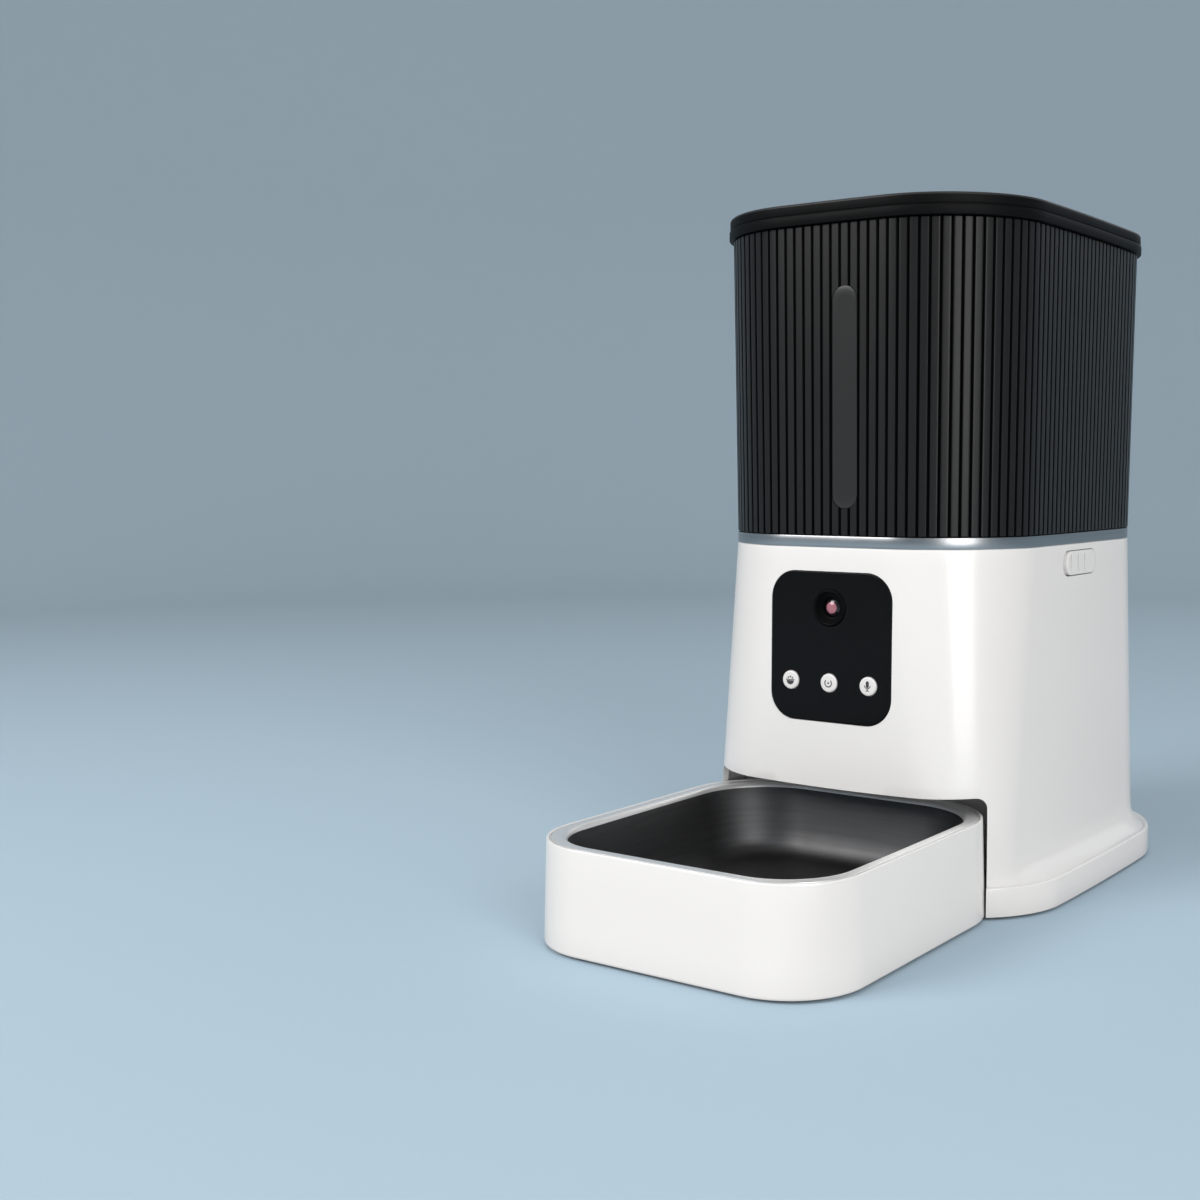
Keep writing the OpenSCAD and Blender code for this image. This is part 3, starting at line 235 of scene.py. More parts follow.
def shade(thing, smooth_angle):
    """Smooth shading, with edges sharper than an angle in degrees kept crisp."""
    thing.data.shade_smooth()
    thing.data.set_sharp_from_angle(angle=math.radians(smooth_angle))

def dress(thing, material, smooth_angle=35.0):
    """Gives a piece one material and its shading."""
    thing.data.materials.clear()
    thing.data.materials.append(material)
    shade(thing, smooth_angle)

def skin(name, rings, material=None, closed=False, smooth_angle=35.0):
    """A skin over rings of points: closed joins the last ring to the first, else both ends are filled."""
    count, last = len(rings[0]), len(rings) - 1
    faces = []
    for k in range(last + 1 if closed else last):
        low, high = k * count, (k + 1) % len(rings) * count
        for i in range(count):
            j = (i + 1) % count
            faces.append((low + i, low + j, high + j, high + i))
    if not closed:
        faces.append(tuple(range(count - 1, -1, -1)))
        faces.append(tuple(range(last * count, (last + 1) * count)))
    return piece(name, np.vstack(rings), faces, material, smooth_angle)

def prism(name, points, start, end, axis="y"):
    """A cutting block: an outline of (across, up) pushed along the tower's y or x axis."""
    points = np.asarray(points, float)
    rings = []
    for depth in (start, end):
        along = np.full(len(points), depth)
        if axis == "y":
            rings.append(np.column_stack((points[:, 0], along, points[:, 1])))
        else:
            rings.append(np.column_stack((along, points[:, 0], points[:, 1])))
    block = skin(name, rings)
    face_out(block)
    return block

def face_out(thing):
    """Turns all faces of a closed piece outwards."""
    mesh = bmesh.new()
    mesh.from_mesh(thing.data)
    bmesh.ops.recalc_face_normals(mesh, faces=mesh.faces)
    mesh.to_mesh(thing.data)
    mesh.free()

def carve(thing, tools):
    """Cuts the tools out of a closed piece and removes them."""
    for tool in tools:
        cut = thing.modifiers.new("cut", "BOOLEAN")
        cut.operation = "DIFFERENCE"
        cut.solver = "EXACT"
        cut.object = tool
    bpy.context.view_layer.update()
    ready = thing.evaluated_get(bpy.context.evaluated_depsgraph_get())
    carved = bpy.data.meshes.new_from_object(ready)
    thing.modifiers.clear()
    thing.data = carved
    for tool in tools:
        bpy.data.objects.remove(tool)

def soften(thing, wanted, width, steps=3, sharper=40.0):
    """Rounds the sharp edges whose middle, in tower millimetres, is wanted."""
    mesh = bmesh.new()
    mesh.from_mesh(thing.data)
    edges = []
    for edge in mesh.edges:
        if len(edge.link_faces) != 2 or edge.calc_face_angle(0.0) < math.radians(sharper):
            continue
        at = (edge.verts[0].co + edge.verts[1].co) / 2
        if wanted(at.x * 1000, (at.y - tower_y) * 1000, at.z * 1000):
            edges.append(edge)
    bmesh.ops.bevel(mesh, geom=edges, offset=width * 0.001, offset_type="OFFSET", segments=steps,
                    profile=0.5, affect="EDGES", clamp_overlap=True)
    mesh.to_mesh(thing.data)
    mesh.free()

def rounded(w, h, r, steps=10, middle=(0.0, 0.0)):
    """A rounded rectangle of (across, up) points."""
    points = []
    for k, (sx, sy) in enumerate(((1, -1), (1, 1), (-1, 1), (-1, -1))):
        for i in range(steps + 1):
            angle = math.pi / 2 * (k - 1 + i / steps)
            points.append((middle[0] + sx * (w / 2 - r) + r * math.cos(angle),
                           middle[1] + sy * (h / 2 - r) + r * math.sin(angle)))
    return points

def disc(d, count=32, middle=(0.0, 0.0)):
    """A circle of (across, up) points."""
    return [(middle[0] + d / 2 * math.cos(2 * math.pi * i / count),
             middle[1] + d / 2 * math.sin(2 * math.pi * i / count)) for i in range(count)]

def base_line(z, grow=0.0, count=shell_count):
    """The body's outline at a height, from the waist down to the foot."""
    share = (base_top - z) / (base_top - plinth_top)
    return outline(waist_hw + base_flare * share + grow, waist_hd + base_flare * share + grow,
                   waist_r + (foot_r - waist_r) * share + grow, side_bow, count,
                   waist_r + (foot_rear_r - waist_r) * share + grow)

def plinth_line(grow=0.0):
    """The plinth's outline, which reaches further back than the body."""
    return outline(plinth_hw + grow, (plinth_front + plinth_back) / 2 + grow, plinth_r + grow, side_bow,
                   shell_count, plinth_rear_r + grow, (plinth_back - plinth_front) / 2)

def tray_line(inset, bow=0.0):
    """The tray's outline, drawn in by inset."""
    return outline(tray_hw - inset, tray_hd - inset, tray_r - inset, bow, line_count,
                   tray_rear_r - inset, tray_mid)

def shell_rings(grow):
    """The shell's skin from the floor up, grown by grow: plinth, rim with gutter, ledge and body."""
    rings = [ring(plinth_line(grow - 0.5), floor_gap), ring(plinth_line(grow - 0.15), floor_gap + 0.15)]
    rings += [ring(plinth_line(grow), z) for z in (floor_gap + 0.5, 7.0, plinth_top - 0.9 + grow)]
    rim_steps = ((0.08, 0.55), (0.3, 0.22), (0.65, 0.06), (1.0, 0.0), (1.5, 0.05), (1.95, 0.25),
                 (2.35, 0.6), (2.7, 0.85))
    rings += [ring(plinth_line(grow - inset), plinth_top - drop + grow) for inset, drop in rim_steps]
    ledge_start = plinth_line(grow - 2.9)
    for t in (0.02, 0.05, 0.09, 0.14, 0.2, 0.28, 0.38, 0.5, 0.65, 0.82, 1.0):
        z = plinth_top + ledge_h * t - gutter * (1 - t) ** 4
        share = 1 - (1 - t) ** 6
        rings.append(ring(ledge_start * (1 - share) + base_line(z, grow) * share, z + grow * (1 - t)))
    rings += [ring(base_line(z, grow), z) for z in np.linspace(34, base_top - 1, 22)]
    rings.append(ring(base_line(base_top, grow - 0.12), base_top - 0.3))
    rings.append(ring(base_line(base_top, grow - 0.5), base_top))
    return rings

white_plastic = finish("white_plastic", (0.85, 0.85, 0.85), 0.24, coat=0.25, grain=0.02)
outside = shell_rings(0.0)
inside = [r for r in shell_rings(-base_wall) if r[0, 2] < base_top - 0.2]
inside = [ring(plinth_line(-base_wall), floor_gap)] + inside[3:]
inside.append(ring(base_line(base_top, -base_wall), base_top))
shell = skin("base_body", outside + inside[::-1], closed=True)
face_out(shell)
mouth_steps = [(0.0, -5.0)]
for step in range(11):
    turn = math.radians(9 * step)
    mouth_steps.append((mouth_r * (1 - math.cos(turn)), mouth_top - mouth_r * (1 - math.sin(turn))))
mouth = skin("mouth", [ring(tray_line(inset - mouth_gap, 0.6), z) for inset, z in mouth_steps])
face_out(mouth)
brow = [(x, mouth_top - mouth_droop * (1 - (x / brow_hw) ** 2))
        for x in np.linspace(-brow_hw, brow_hw, 61)]
brow += [(brow_hw, mouth_top + 5), (-brow_hw, mouth_top + 5)]
carve(mouth, [prism("mouth_brow", brow, *mouth_cut)])
panel_seat = rounded(panel_w + 0.3, panel_h + 0.3, panel_r + 0.15, 12, (0, panel_z))
tools = [mouth, prism("panel_seat", panel_seat, *front_cut),
         prism("inlet_hole", disc(inlet_d, 32, (inlet_x, inlet_z)), *back_cut),
         prism("door_gap", rounded(2 * door_hw, 2 * door_top, 0.2, 2), *door_cut)]
for side in (-1, 1):
    slot = rounded(latch_w, latch_h, latch_h / 2 - 0.01, 12, (latch_y, latch_z))
    tools.append(prism("latch_slot", slot, side * slot_floor, side * slot_out, "x"))
for lap in range(4):
    for i in range(max(1, 6 * lap)):
        angle = 0 if lap == 0 else math.radians(60 / lap * i)
        spot = (grille_step * lap * math.cos(angle), speaker_z + grille_step * lap * math.sin(angle))
        tools.append(prism("grille_hole", disc(grille_d, 16, spot), *back_cut))
carve(shell, tools)
soften(shell, lambda x, y, z: abs(x) < tray_hw + 2 and z < mouth_top + 1 and y < -80, 0.6)
dress(shell, white_plastic, 38)
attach(shell, "base")
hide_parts("base_shell")

# Inner pieces
# Plates, boards, the drive, the battery bay and the fasteners keep their CAD shapes and get
# plain workshop finishes by the kind of material that the record gives them.
def brushed(name, colour, roughness, stretch, tint=0.06, metallic=1.0, relief_share=0.05):
    """Metal with fine drawn lines: noise stretched along the brushing by stretch, a scale per axis."""
    material = finish(name, colour, roughness, metallic=metallic)
    tree = material.node_tree
    shader = tree.nodes["Principled BSDF"]
    place = tree.nodes.new("ShaderNodeTexCoord")
    scale = tree.nodes.new("ShaderNodeMapping")
    scale.inputs["Scale"].default_value = stretch
    tree.links.new(place.outputs["Object"], scale.inputs["Vector"])
    lines = tree.nodes.new("ShaderNodeTexNoise")
    lines.inputs["Scale"].default_value = 1.0
    lines.inputs["Detail"].default_value = 4.0
    tree.links.new(scale.outputs["Vector"], lines.inputs["Vector"])
    tone = tree.nodes.new("ShaderNodeMixRGB")
    tone.inputs["Color1"].default_value = (*[max(0.0, c - tint) for c in colour], 1)
    tone.inputs["Color2"].default_value = (*[min(1.0, c + tint) for c in colour], 1)
    tree.links.new(lines.outputs["Fac"], tone.inputs["Fac"])
    tree.links.new(tone.outputs["Color"], shader.inputs["Base Color"])
    relief = tree.nodes.new("ShaderNodeBump")
    relief.inputs["Strength"].default_value = relief_share
    relief.inputs["Distance"].default_value = 0.0002
    tree.links.new(lines.outputs["Fac"], relief.inputs["Height"])
    tree.links.new(relief.outputs["Normal"], shader.inputs["Normal"])
    return material

by_slot = {
    "white_shell": white_plastic,
    "grey_plastic": finish("grey_plastic", (0.62, 0.62, 0.62), 0.45, grain=0.08),
    "rubber": finish("foot_rubber", (0.03, 0.03, 0.032), 0.8, grain=0.2),
    "steel": brushed("plated_steel", (0.6, 0.6, 0.61), 0.32, (400, 400, 40)),
    "dark_plastic": finish("dark_plastic", (0.02, 0.02, 0.021), 0.5, grain=0.1),
    "circuit_board": finish("circuit_board", (0.015, 0.1, 0.04), 0.4, grain=0.15, grain_scale=500),
    "gearbox_plastic": finish("gearbox_plastic", (0.45, 0.45, 0.46), 0.45, grain=0.08),
    "motor_can": brushed("motor_can", (0.5, 0.5, 0.5), 0.38, (300, 300, 20)),
    "pinion_brass": brushed("pinion_brass", (0.68, 0.5, 0.22), 0.3, (60, 60, 500)),
    "gear_plastic": finish("gear_plastic", (0.78, 0.75, 0.66), 0.4, grain=0.05),
    "inner_black": finish("inner_black", (0.016, 0.016, 0.017), 0.42, grain=0.1),
    "silicone": finish("silicone", (0.62, 0.26, 0.07), 0.55, grain=0.1),
}
for row in frame["record"]["subparts"]:
    if row["material_slot"] in by_slot:
        dress(nodes[row["node"]], by_slot[row["material_slot"]], 30)

# Trim ring
# A narrow brushed metal band with broken edges, laid on the base's top edge between the white body
# and the dark hopper.
trim_h = 5.0
trim_profile = ((-4.0, 0.0), (-0.3, 0.0), (-0.08, 0.08), (0.0, 0.3), (0.0, trim_h - 0.3),
                (-0.08, trim_h - 0.08), (-0.3, trim_h), (-4.0, trim_h))

def waist_line(grow, count=shell_count, wider=0.0):
    """The outline that ring, hopper and lid share, made wider all round by wider."""
    return outline(waist_hw + wider + grow, waist_hd + wider + grow, waist_r + grow, side_bow, count)

trim_metal = brushed("trim_metal", (0.4, 0.4, 0.405), 0.3, (8, 8, 1600))
trim = skin("trim_band", [ring(waist_line(grow), base_top + up) for grow, up in trim_profile],
            trim_metal, closed=True)
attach(trim, "base")
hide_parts("trim_ring")

# Front panel
# The polished black face follows the body's own bow and stands a hair proud of it, with a soft
# edge and round openings for the camera and the three buttons.
panel_proud, panel_back = 0.4, 1.9
panel_cut = (-95, -115)
lens_z, lens_ring_d = panel_z + 17.6, 16.5
button_z, button_pitch, button_d = panel_z - 15.9, 20.0, 8.4

def front_at(x, z):
    """The body's front face, as depth at a place across and up."""
    heights = np.linspace(70, 155, 8)
    depths = []
    for height in heights:
        line = base_line(height, 0.0, 800)
        line = line[(line[:, 1] < 0) & (np.abs(line[:, 0]) < 60)]
        line = line[np.argsort(line[:, 0])]
        depths.append(np.interp(x, line[:, 0], line[:, 1]))
    return np.array([np.interp(zz, heights, column) for zz, column in zip(z, np.array(depths).T)])

def face_piece(name, insets, middle, shape, place):
    """A closed plate on a curved face: shape(inset) is its outline, insets its (inset, height) edge."""
    rings = []
    for inset, height in insets:
        flat = np.array(shape(inset))
        rings.append(place(flat, height))
    whole = np.array(shape(insets[-1][0])) - np.array(middle)
    for share in (0.92, 0.8, 0.66, 0.5, 0.34, 0.18, 0.06):
        rings.append(place(whole * share + np.array(middle), insets[-1][1]))
    made = skin(name, rings)
    face_out(made)
    return made

def on_front(flat, height):
    """Points of (across, up) set on the body's front, at a height above it."""
    return np.column_stack((flat[:, 0], front_at(flat[:, 0], flat[:, 1]) - height, flat[:, 1]))

panel_edge = ((0.0, -panel_back), (0.0, panel_proud - 0.5), (0.04, panel_proud - 0.3),
              (0.15, panel_proud - 0.14), (0.32, panel_proud - 0.04), (0.55, panel_proud))
panel_black = finish("panel_black", (0.004, 0.004, 0.0042), 0.22, speculars=0.12)

def panel_shape(inset):
    """The panel's outline drawn in by inset."""
    return rounded(panel_w - 2 * inset, panel_h - 2 * inset, panel_r - inset, 14, (0, panel_z))

panel = face_piece("camera_panel", panel_edge, (0, panel_z), panel_shape, on_front)
holes = [prism("lens_hole", disc(lens_ring_d + 0.3, 64, (0, lens_z)), *panel_cut)]
for side in (-1, 0, 1):
    spot = (side * button_pitch, button_z)
    holes.append(prism("button_hole", disc(button_d + 0.8, 48, spot), *panel_cut))
carve(panel, holes)
dress(panel, panel_black, 30)
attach(panel, "base")
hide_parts("front_panel")

# Camera
# A turned black bezel, pressed into the panel, leads down fine steps to a small domed glass whose
# coating shines rosy in its centre.
def lathe(name, profile, middle, front, material, count=72, smooth_angle=40.0):
    """A turned piece on an axis that points out of the front: profile gives (radius, depth)."""
    turn = np.linspace(0, 2 * math.pi, count + 1)[:-1]
    rings = []
    for radius, depth in profile:
        rings.append(np.column_stack((middle[0] + radius * np.cos(turn), np.full(count, front + depth),
                                      middle[1] + radius * np.sin(turn))))
    made = skin(name, rings)
    face_out(made)
    dress(made, material, smooth_angle)
    return made

lens_d, lens_dome, rose_r = 8.6, 6.5, 2.75
lens_front = float(front_at(np.array([0.0]), np.array([lens_z]))[0]) - panel_proud
bezel_profile = [(lens_d / 2 + 0.1, 3.6), (lens_d / 2 + 0.1, 2.3)]
for step in range(5):
    radius = lens_d / 2 + 0.25 + 0.5 * step
    bezel_profile += [(radius, 2.15 - 0.36 * step), (radius + 0.42, 2.1 - 0.36 * step)]
bezel_profile += [(6.95, 0.3), (7.2, 0.08), (7.5, 0.0), (7.85, 0.06), (8.12, 0.24), (8.25, 0.55),
                  (8.25, 3.6)]
camera_black = finish("camera_black", (0.0018, 0.0018, 0.002), 0.42, speculars=0.06)
bezel = lathe("camera_bezel", bezel_profile, (0, lens_z), lens_front - 0.6, camera_black)
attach(bezel, "base")
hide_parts("camera_ring")
lens_dark = finish("lens_dark", (0.012, 0.008, 0.011), 0.12, coat=0.35)
lens_rose = finish("lens_rose", (0.4, 0.15, 0.19), 0.16, coat=0.6)
lens_profile = [(lens_d / 2, 2.5)]
for radius in (4.3, 4.1, 3.8, 3.4, 3.0, 2.6, 2.1, 1.6, 1.0, 0.4, 0.05):
    lens_profile.append((radius, lens_dome - math.sqrt(lens_dome ** 2 - radius ** 2)))
lens = lathe("camera_glass", lens_profile, (0, lens_z), lens_front + 1.2, lens_dark)
lens.data.materials.append(lens_rose)
for face in lens.data.polygons:
    away = Vector((face.center.x * 1000, 0, face.center.z * 1000 - lens_z))
    if away.length < rose_r and face.center.y < tower_y + (lens_front + 2) * 0.001:
        face.material_index = 1
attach(lens, "base")
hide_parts("camera_lens")

# Buttons
# Three white caps with a soft rim, each on its flange and stem, with a thin printed sign:
# a bowl, a plain ring and a microphone.
def bar(x0, x1, z0, z1):
    """A plain bar between two corners."""
    return [(x0, z0), (x1, z0), (x1, z1), (x0, z1)]

def arc(r, start, end, middle=(0.0, 0.0), steps=24):
    """Points along an arc from a start to an end in degrees."""
    angles = [math.radians(start + (end - start) * i / steps) for i in range(steps + 1)]
    return [(middle[0] + r * math.cos(a), middle[1] + r * math.sin(a)) for a in angles]

def arc_band(r0, r1, start, end, middle=(0.0, 0.0)):
    """A curved band between two radii."""
    return arc(r1, start, end, middle) + arc(r0, start, end, middle)[::-1]

bowl_sign = [arc(1.9, 180, 360, (0, -0.2)), bar(-2.3, 2.3, -0.05, 0.35), disc(0.8, 16, (-1.0, 1.1)),
             disc(0.8, 16, (0.1, 1.5)), disc(0.8, 16, (1.1, 1.0))]
ring_sign = [arc_band(1.45, 1.95, -225, 45), disc(0.9, 20)]
voice_sign = [rounded(1.5, 3.0, 0.74, 8, (0, 0.9)), arc_band(1.25, 1.6, 180, 360, (0, 0.5)),
              bar(-0.18, 0.18, -1.75, -1.0), bar(-0.85, 0.85, -2.1, -1.75)]
cap_front = float(front_at(np.array([0.0]), np.array([button_z]))[0]) - panel_proud - 0.6
cap_r = button_d / 2
cap_profile = [(0.05, 8.2), (2.5, 8.2), (2.5, 5.0), (5.7, 5.0), (5.7, 3.8), (cap_r, 3.8), (cap_r, 0.7)]
cap_rounding = ((0.04, 0.42), (0.2, 0.2), (0.45, 0.07), (0.8, 0.02))
cap_profile += [(cap_r - inset, depth) for inset, depth in cap_rounding]
cap_profile += [(2.4, 0.0), (1.2, 0.0), (0.05, 0.0)]
button_white = finish("button_white", (0.8, 0.8, 0.8), 0.3, coat=0.2)
sign_ink = finish("sign_ink", (0.035, 0.035, 0.04), 0.5)
for side, name, sign in ((-1, "left", bowl_sign), (0, "middle", ring_sign), (1, "right", voice_sign)):
    spot = (side * button_pitch, button_z)
    cap = lathe("button_cap_" + name, cap_profile, spot, cap_front, button_white, 64)
    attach(cap, "button_" + name)
    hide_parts("button_" + name)
    for k, shape in enumerate(sign):
        flat = np.array(shape) + np.array(spot)
        print_rings = [np.column_stack((flat[:, 0], np.full(len(flat), cap_front + depth), flat[:, 1]))
                       for depth in (0.1, -0.03)]
        mark = skin("button_sign_%s_%d" % (name, k), print_rings)
        face_out(mark)
        mark.data.materials.append(sign_ink)
        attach(mark, "button_" + name)

# Side latches
# A long white finger slide sits flush in each side wall near its top edge, with three grip lines and
# a flange behind the wall that holds it in its slot.
latch_len, latch_tall, latch_rest = 35.6, 11.2, latch_y + 2.0
latch_proud, latch_back = 0.3, 3.5
grip_w, grip_floor, grip_out = 1.3, 74.6, 80.0

def side_at(y):
    """The body's right side at the latches' height, as distance out at a place along."""
    line = base_line(latch_z, 0.0, 800)
    line = line[(line[:, 0] > 0) & (np.abs(line[:, 1]) < 60)]
    line = line[np.argsort(line[:, 1])]
    return np.interp(y, line[:, 1], line[:, 0])

def latch_shape(inset):
    """The slide's outline drawn in by inset; a negative one gives the flange behind the wall."""
    tall = latch_tall - 2 * max(inset, -0.4)
    return rounded(latch_len - 2 * inset, tall, tall / 2 - 0.01, 14, (latch_rest, latch_z))

latch_edge = ((-3.0, -latch_back - 1.5), (-3.0, -latch_back + 0.5), (0.0, -latch_back + 0.5),
              (0.0, latch_proud - 0.45), (0.05, latch_proud - 0.25), (0.2, latch_proud - 0.08),
              (0.45, latch_proud))
for side, name in ((-1, "left"), (1, "right")):
    def on_side(flat, height):
        """Points of (along, up) set on this side's wall, at a height above it."""
        return np.column_stack((side * (side_at(flat[:, 0]) + height), flat[:, 0], flat[:, 1]))
    slide = face_piece("latch_slide_" + name, latch_edge, (latch_rest, latch_z), latch_shape, on_side)
    grips = []
    for along in (-13.0, -5.0, 3.0):
        groove = rounded(grip_w, latch_tall - 3.2, 0.6, 6, (latch_rest + along, latch_z))
        grips.append(prism("grip", groove, side * grip_floor, side * grip_out, "x"))
    carve(slide, grips)
    dress(slide, white_plastic, 30)
    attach(slide, "latch_" + name)
    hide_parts("latch_" + name)

# Tray
# The white drawer has wide round corners, walls that lean in slightly to the top, a narrow lip and
# a ledge for the bowl. Its rear corners stay inside the mouth.
tray_taper, wall_low, wall_rise = 1.2, 2.3, 41.1
tray_outside = [(2.2, 1.0), (1.2, 1.02), (0.55, 1.18), (0.15, 1.6), (0.0, wall_low)]
tray_outside += [(tray_taper * (z - wall_low) / wall_rise, z) for z in (12.0, 22.0, 32.0, 43.4)]
tray_outside += [(tray_taper + inset, z) for inset, z in ((0.06, 43.85), (0.25, 44.18), (0.55, 44.3))]
tray_inside = [(tray_taper + inset, z) for inset, z in (
    (0.85, 44.3), (1.08, 44.22), (1.2, 43.95), (1.2, 43.1), (4.2, 43.1), (4.2, 7.0), (5.0, 4.6), (7.0, 3.5))]
tray_rings = [ring(tray_line(inset), z) for inset, z in tray_outside + tray_inside]
drawer = skin("tray_drawer", tray_rings, white_plastic, smooth_angle=32)
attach(drawer, "tray")
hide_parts("tray")

# Bowl
# A drawn stainless bowl: a flat flange with a rounded rim, a rolled shoulder, steep walls and a
# wide radius into a flat floor.
bowl_top, bowl_t, flange_w, shade_depth = 44.3, 0.8, 4.0, 2.2
bowl_gap = tray_taper + 1.6
bowl_knots = ((0.0, 0.0), (0.35, 0.12), (0.9, 0.65), (1.35, 1.7), (2.0, 4.5), (3.4, 11.5), (4.8, 18.5),
              (6.0, 23.6), (7.8, 28.0), (10.6, 31.2), (14.0, 32.7), (18.0, 33.0))

def bowl_line(inset):
    """The bowl's outline drawn in by inset, with corners that stay wide towards the floor."""
    tighter = 0.6 * inset
    return outline(tray_hw - bowl_gap - inset, tray_hd - bowl_gap - inset, tray_r - bowl_gap - tighter, 0.6,
                   line_count, tray_rear_r - bowl_gap - tighter, tray_mid)

def smooth_path(knots, steps=4):
    """A curve through the knots, with steps points to each span."""
    knots = np.array(knots, float)
    ends = np.vstack((2 * knots[0] - knots[1], knots, 2 * knots[-1] - knots[-2]))
    path = []
    for k in range(1, len(ends) - 2):
        a, b, c, d = ends[k - 1:k + 3]
        for i in range(steps):
            t = i / steps
            path.append(0.5 * (2 * b + (c - a) * t + (2 * a - 5 * b + 4 * c - d) * t * t
                               + (3 * b - a - 3 * c + d) * t ** 3))
    path.append(knots[-1])
    return path

bowl_inner = [(flange_w + p[0], bowl_top - p[1]) for p in smooth_path(bowl_knots)]
bowl_under = [(max(0.4, inset - bowl_t), z - bowl_t) for inset, z in reversed(bowl_inner)]
bowl_rim = [(0.4, bowl_top - bowl_t), (0.1, bowl_top - 0.7), (0.0, bowl_top - 0.4), (0.1, bowl_top - 0.1),
            (0.4, bowl_top), (3.0, bowl_top)]
# The steel is set very bright so that the flange shines white, partly a painted highlight; below shade_depth
# a dark copy of it is painted shade inside the bowl.
bowl_steel = brushed("bowl_steel", (0.93, 0.93, 0.93), 0.38, (30, 30, 700), 0.03, metallic=0.75,
                     relief_share=0.02)
bowl_painted_shade = brushed("bowl_steel_painted_shade", (0.1, 0.1, 0.102), 0.5, (30, 30, 700), 0.02, relief_share=0.01)
bowl_rings = [ring(bowl_line(inset), z) for inset, z in bowl_under + bowl_rim + bowl_inner]
dish = skin("steel_bowl", bowl_rings, bowl_steel, smooth_angle=50)
dish.data.materials.append(bowl_painted_shade)
# Faces more than shade_depth below the rim take the dark copy: painted shade inside the bowl.
for face in dish.data.polygons:
    if face.center.z < (bowl_top - shade_depth) * 0.001:
        face.material_index = 1
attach(dish, "bowl")
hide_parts("bowl")

# Hopper
# Upright flat ribs with narrow grooves are moulded round the black hopper, which widens slightly
# to its top; the groove faces are painted near black as painted shade. It stands in the base's deck, and the
# level window is let into its front.
hopper_low, hopper_top, hopper_wider, hopper_wall = 164.9, 300.1, 1.5, 3.0
flute_count = 136
window_x, window_w, window_low, window_h = 7.0, 12.6, 176.5, 97.0
window_cut = (-90, -125)
flute_shape = ((-0.72, 0.0), (-0.58, 0.06), (-0.46, 0.28), (-0.24, 0.78), (0.0, 1.0), (0.24, 0.78),
               (0.46, 0.28), (0.58, 0.06), (0.72, 0.0))
rib_shares = (0.3, 0.5, 0.7)
flute_points = len(flute_shape) + len(rib_shares)

def widening(z):
    """How much wider than the waist the hopper is at a height."""
    return hopper_wider * (z - hopper_low) / (hopper_top - hopper_low)

def fluted(grow, wider):
    """The hopper's outline with a groove every pitch, the first in the middle of the front."""
    line = waist_line(grow, 2400, wider)
    line = np.vstack((line, line[:1]))
    run = np.concatenate(([0.0], np.cumsum(np.hypot(*np.diff(line, axis=0).T))))
    pitch = run[-1] / flute_count
    spots, depths = [], []
    for i in range(flute_count):
        for off, depth in flute_shape:
            spots.append(i * pitch + off)
            depths.append(depth)
        for share in rib_shares:
            spots.append((i + share) * pitch)
            depths.append(0.0)
    spots = np.array(spots)

    def at(s):
        s = s % run[-1]
        return np.column_stack((np.interp(s, run, line[:, 0]), np.interp(s, run, line[:, 1])))
    along = at(spots + 0.3) - at(spots - 0.3)
    along /= np.hypot(along[:, 0], along[:, 1])[:, None]
    inwards = np.column_stack((-along[:, 1], along[:, 0]))
    return at(spots) + inwards * np.array(depths)[:, None]

def hopper_ring(z, grow=0.0):
    """The ribbed outside at a height."""
    return ring(fluted(grow, widening(z)), z)

def plain_ring(z, grow):
    """The smooth inside at a height, with as many points as the ribbed outside."""
    return ring(waist_line(grow, flute_count * flute_points, widening(z)), z)

hopper_black = finish("hopper_black", (0.0125, 0.0125, 0.0128), 0.32, grain=0.05, speculars=0.2)
# Painted shade: a near-black copy of the hopper's plastic that stands for the shade down in the grooves.
groove_painted_shade = finish("groove_painted_shade", (0.003, 0.003, 0.0031), 0.6, speculars=0.03)
hopper_rings = [hopper_ring(hopper_low, -0.25), hopper_ring(hopper_low + 0.3)]
hopper_rings += [hopper_ring(z) for z in np.linspace(hopper_low + 20, hopper_top - 20, 4)]
hopper_rings += [hopper_ring(hopper_top - 0.3), hopper_ring(hopper_top, -0.25)]
hopper_rings += [plain_ring(hopper_top, -hopper_wall), plain_ring(hopper_low, -hopper_wall)]
tank = skin("ribbed_hopper", hopper_rings, closed=True)
tank.data.materials.append(hopper_black)
tank.data.materials.append(groove_painted_shade)
# The outside faces down in each groove take the painted shade.
for face in tank.data.polygons:
    band, column = divmod(face.index, len(hopper_rings[0]))
    if band < len(hopper_rings) - 3 and column % flute_points < len(flute_shape) - 1:
        face.material_index = 1
face_out(tank)
window_mid = (window_x, window_low + window_h / 2)

def window_shape(inset):
    """The window's outline drawn in by inset."""
    return rounded(window_w - 2 * inset, window_h - 2 * inset, window_w / 2 - inset - 0.01, 20, window_mid)

carve(tank, [prism("window_seat", window_shape(0.0), *window_cut)])
shade(tank, 28)
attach(tank, "hopper")
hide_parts("hopper")

# Level window
# A smooth strip of smoked clear plastic with round ends is pressed into its seat in the hopper's
# front and lies flush with the ribs.
def on_hopper(flat, height):
    """Points of (across, up) set on the hopper's front, at a height above it."""
    depth = []
    for x, z in flat:
        wider = widening(z)
        depth.append(-(waist_hd + wider - side_bow * (x / (waist_hw + wider - side_bow)) ** 2))
    return np.column_stack((flat[:, 0], np.array(depth) - height, flat[:, 1]))

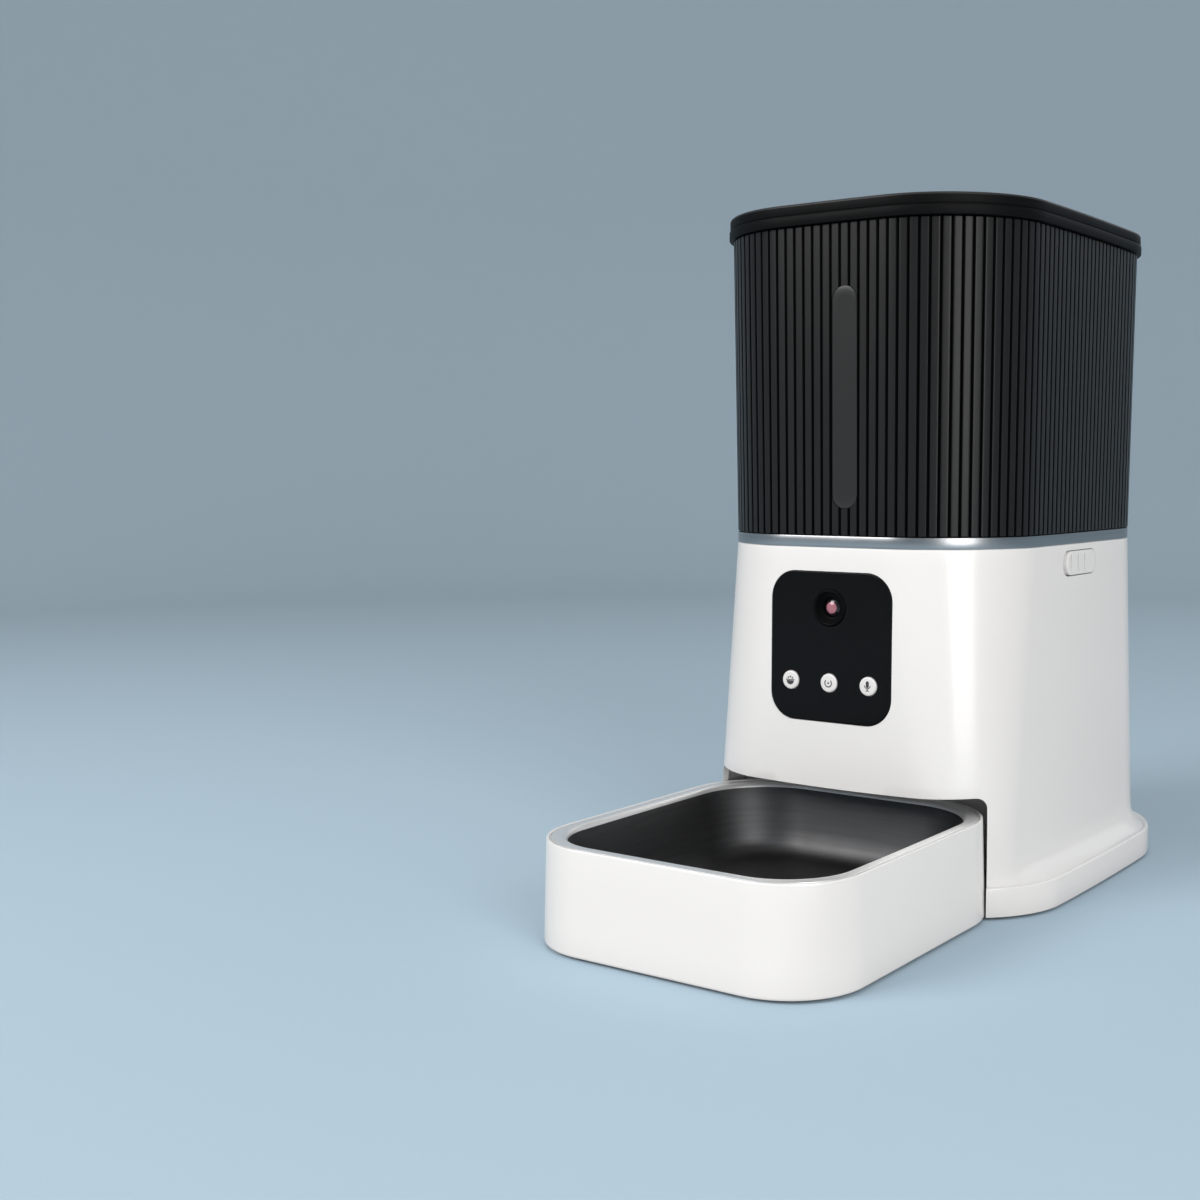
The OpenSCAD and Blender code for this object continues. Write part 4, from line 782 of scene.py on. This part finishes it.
window_edge = ((0.15, -2.6), (0.15, -0.35), (0.2, -0.15), (0.35, -0.04), (0.6, 0.0))
window_smoke = finish("window_smoke", (0.027, 0.027, 0.027), 0.18, speculars=0.3)
pane = face_piece("level_pane", window_edge, window_mid, window_shape, on_hopper)
dress(pane, window_smoke)
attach(pane, "hopper")
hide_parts("level_window")

# Lid
# A shallow satin cap with a stepped edge: a lower band with a rolled foot, a fine groove, a
# slightly smaller upper band and a shallow sunk field on top. A skirt reaches into the hopper.
lid_low, lid_top, lid_over, lid_cap, field_depth = 300.5, 310.0, 2.0, 2.4, 0.9
skirt_low, skirt_t, skirt_in = lid_low - 12.0, 2.0, 5.4

def lid_line(grow):
    """The outline of the hopper's top, grown by grow."""
    return waist_line(grow, shell_count, hopper_wider)

skirt_inner = -skirt_in - skirt_t
skirt_profile = [(skirt_inner, lid_top - lid_cap), (skirt_inner, skirt_low + 0.3),
                 (skirt_inner + 0.3, skirt_low), (-skirt_in - 0.3, skirt_low),
                 (-skirt_in, skirt_low + 0.3), (-skirt_in, lid_low)]
edge_steps = ((-0.6, 0.0), (-0.2, 0.1), (0.0, 0.45), (0.0, 3.8), (-0.12, 4.15), (-0.45, 4.3),
              (-0.75, 4.4), (-0.75, 4.7), (-0.5, 4.85), (-0.4, 5.1), (-0.4, 8.4), (-0.55, 9.0),
              (-0.95, 9.37), (-1.6, 9.5), (-8.2, 9.5), (-8.7, 9.3), (-9.1, 8.8), (-9.6, 8.7), (-30.0, 8.7))
lid_profile = skirt_profile + [(lid_over + grow, lid_low + up) for grow, up in edge_steps]
lid_black = finish("lid_black", (0.0035, 0.0035, 0.0037), 0.5, grain=0.06, speculars=0.08)
cover = skin("lid_cap", [ring(lid_line(grow), z) for grow, z in lid_profile], lid_black, smooth_angle=40)
# The sunk top field has a real fine grain, and its colour is a lighter copy of the lid's black against the
# darker sides: painted light.
lid_grain_and_painted_light = finish("lid_grain_and_painted_light", (0.013, 0.013, 0.0135), 0.45, grain=0.25, grain_scale=1400,
                     speculars=0.35)
cover.data.materials.append(lid_grain_and_painted_light)
# Faces of the top field take the lighter, grained copy.
for face in cover.data.polygons:
    if face.center.z > (lid_top - field_depth) * 0.001:
        face.material_index = 1
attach(cover, "lid")
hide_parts("lid")
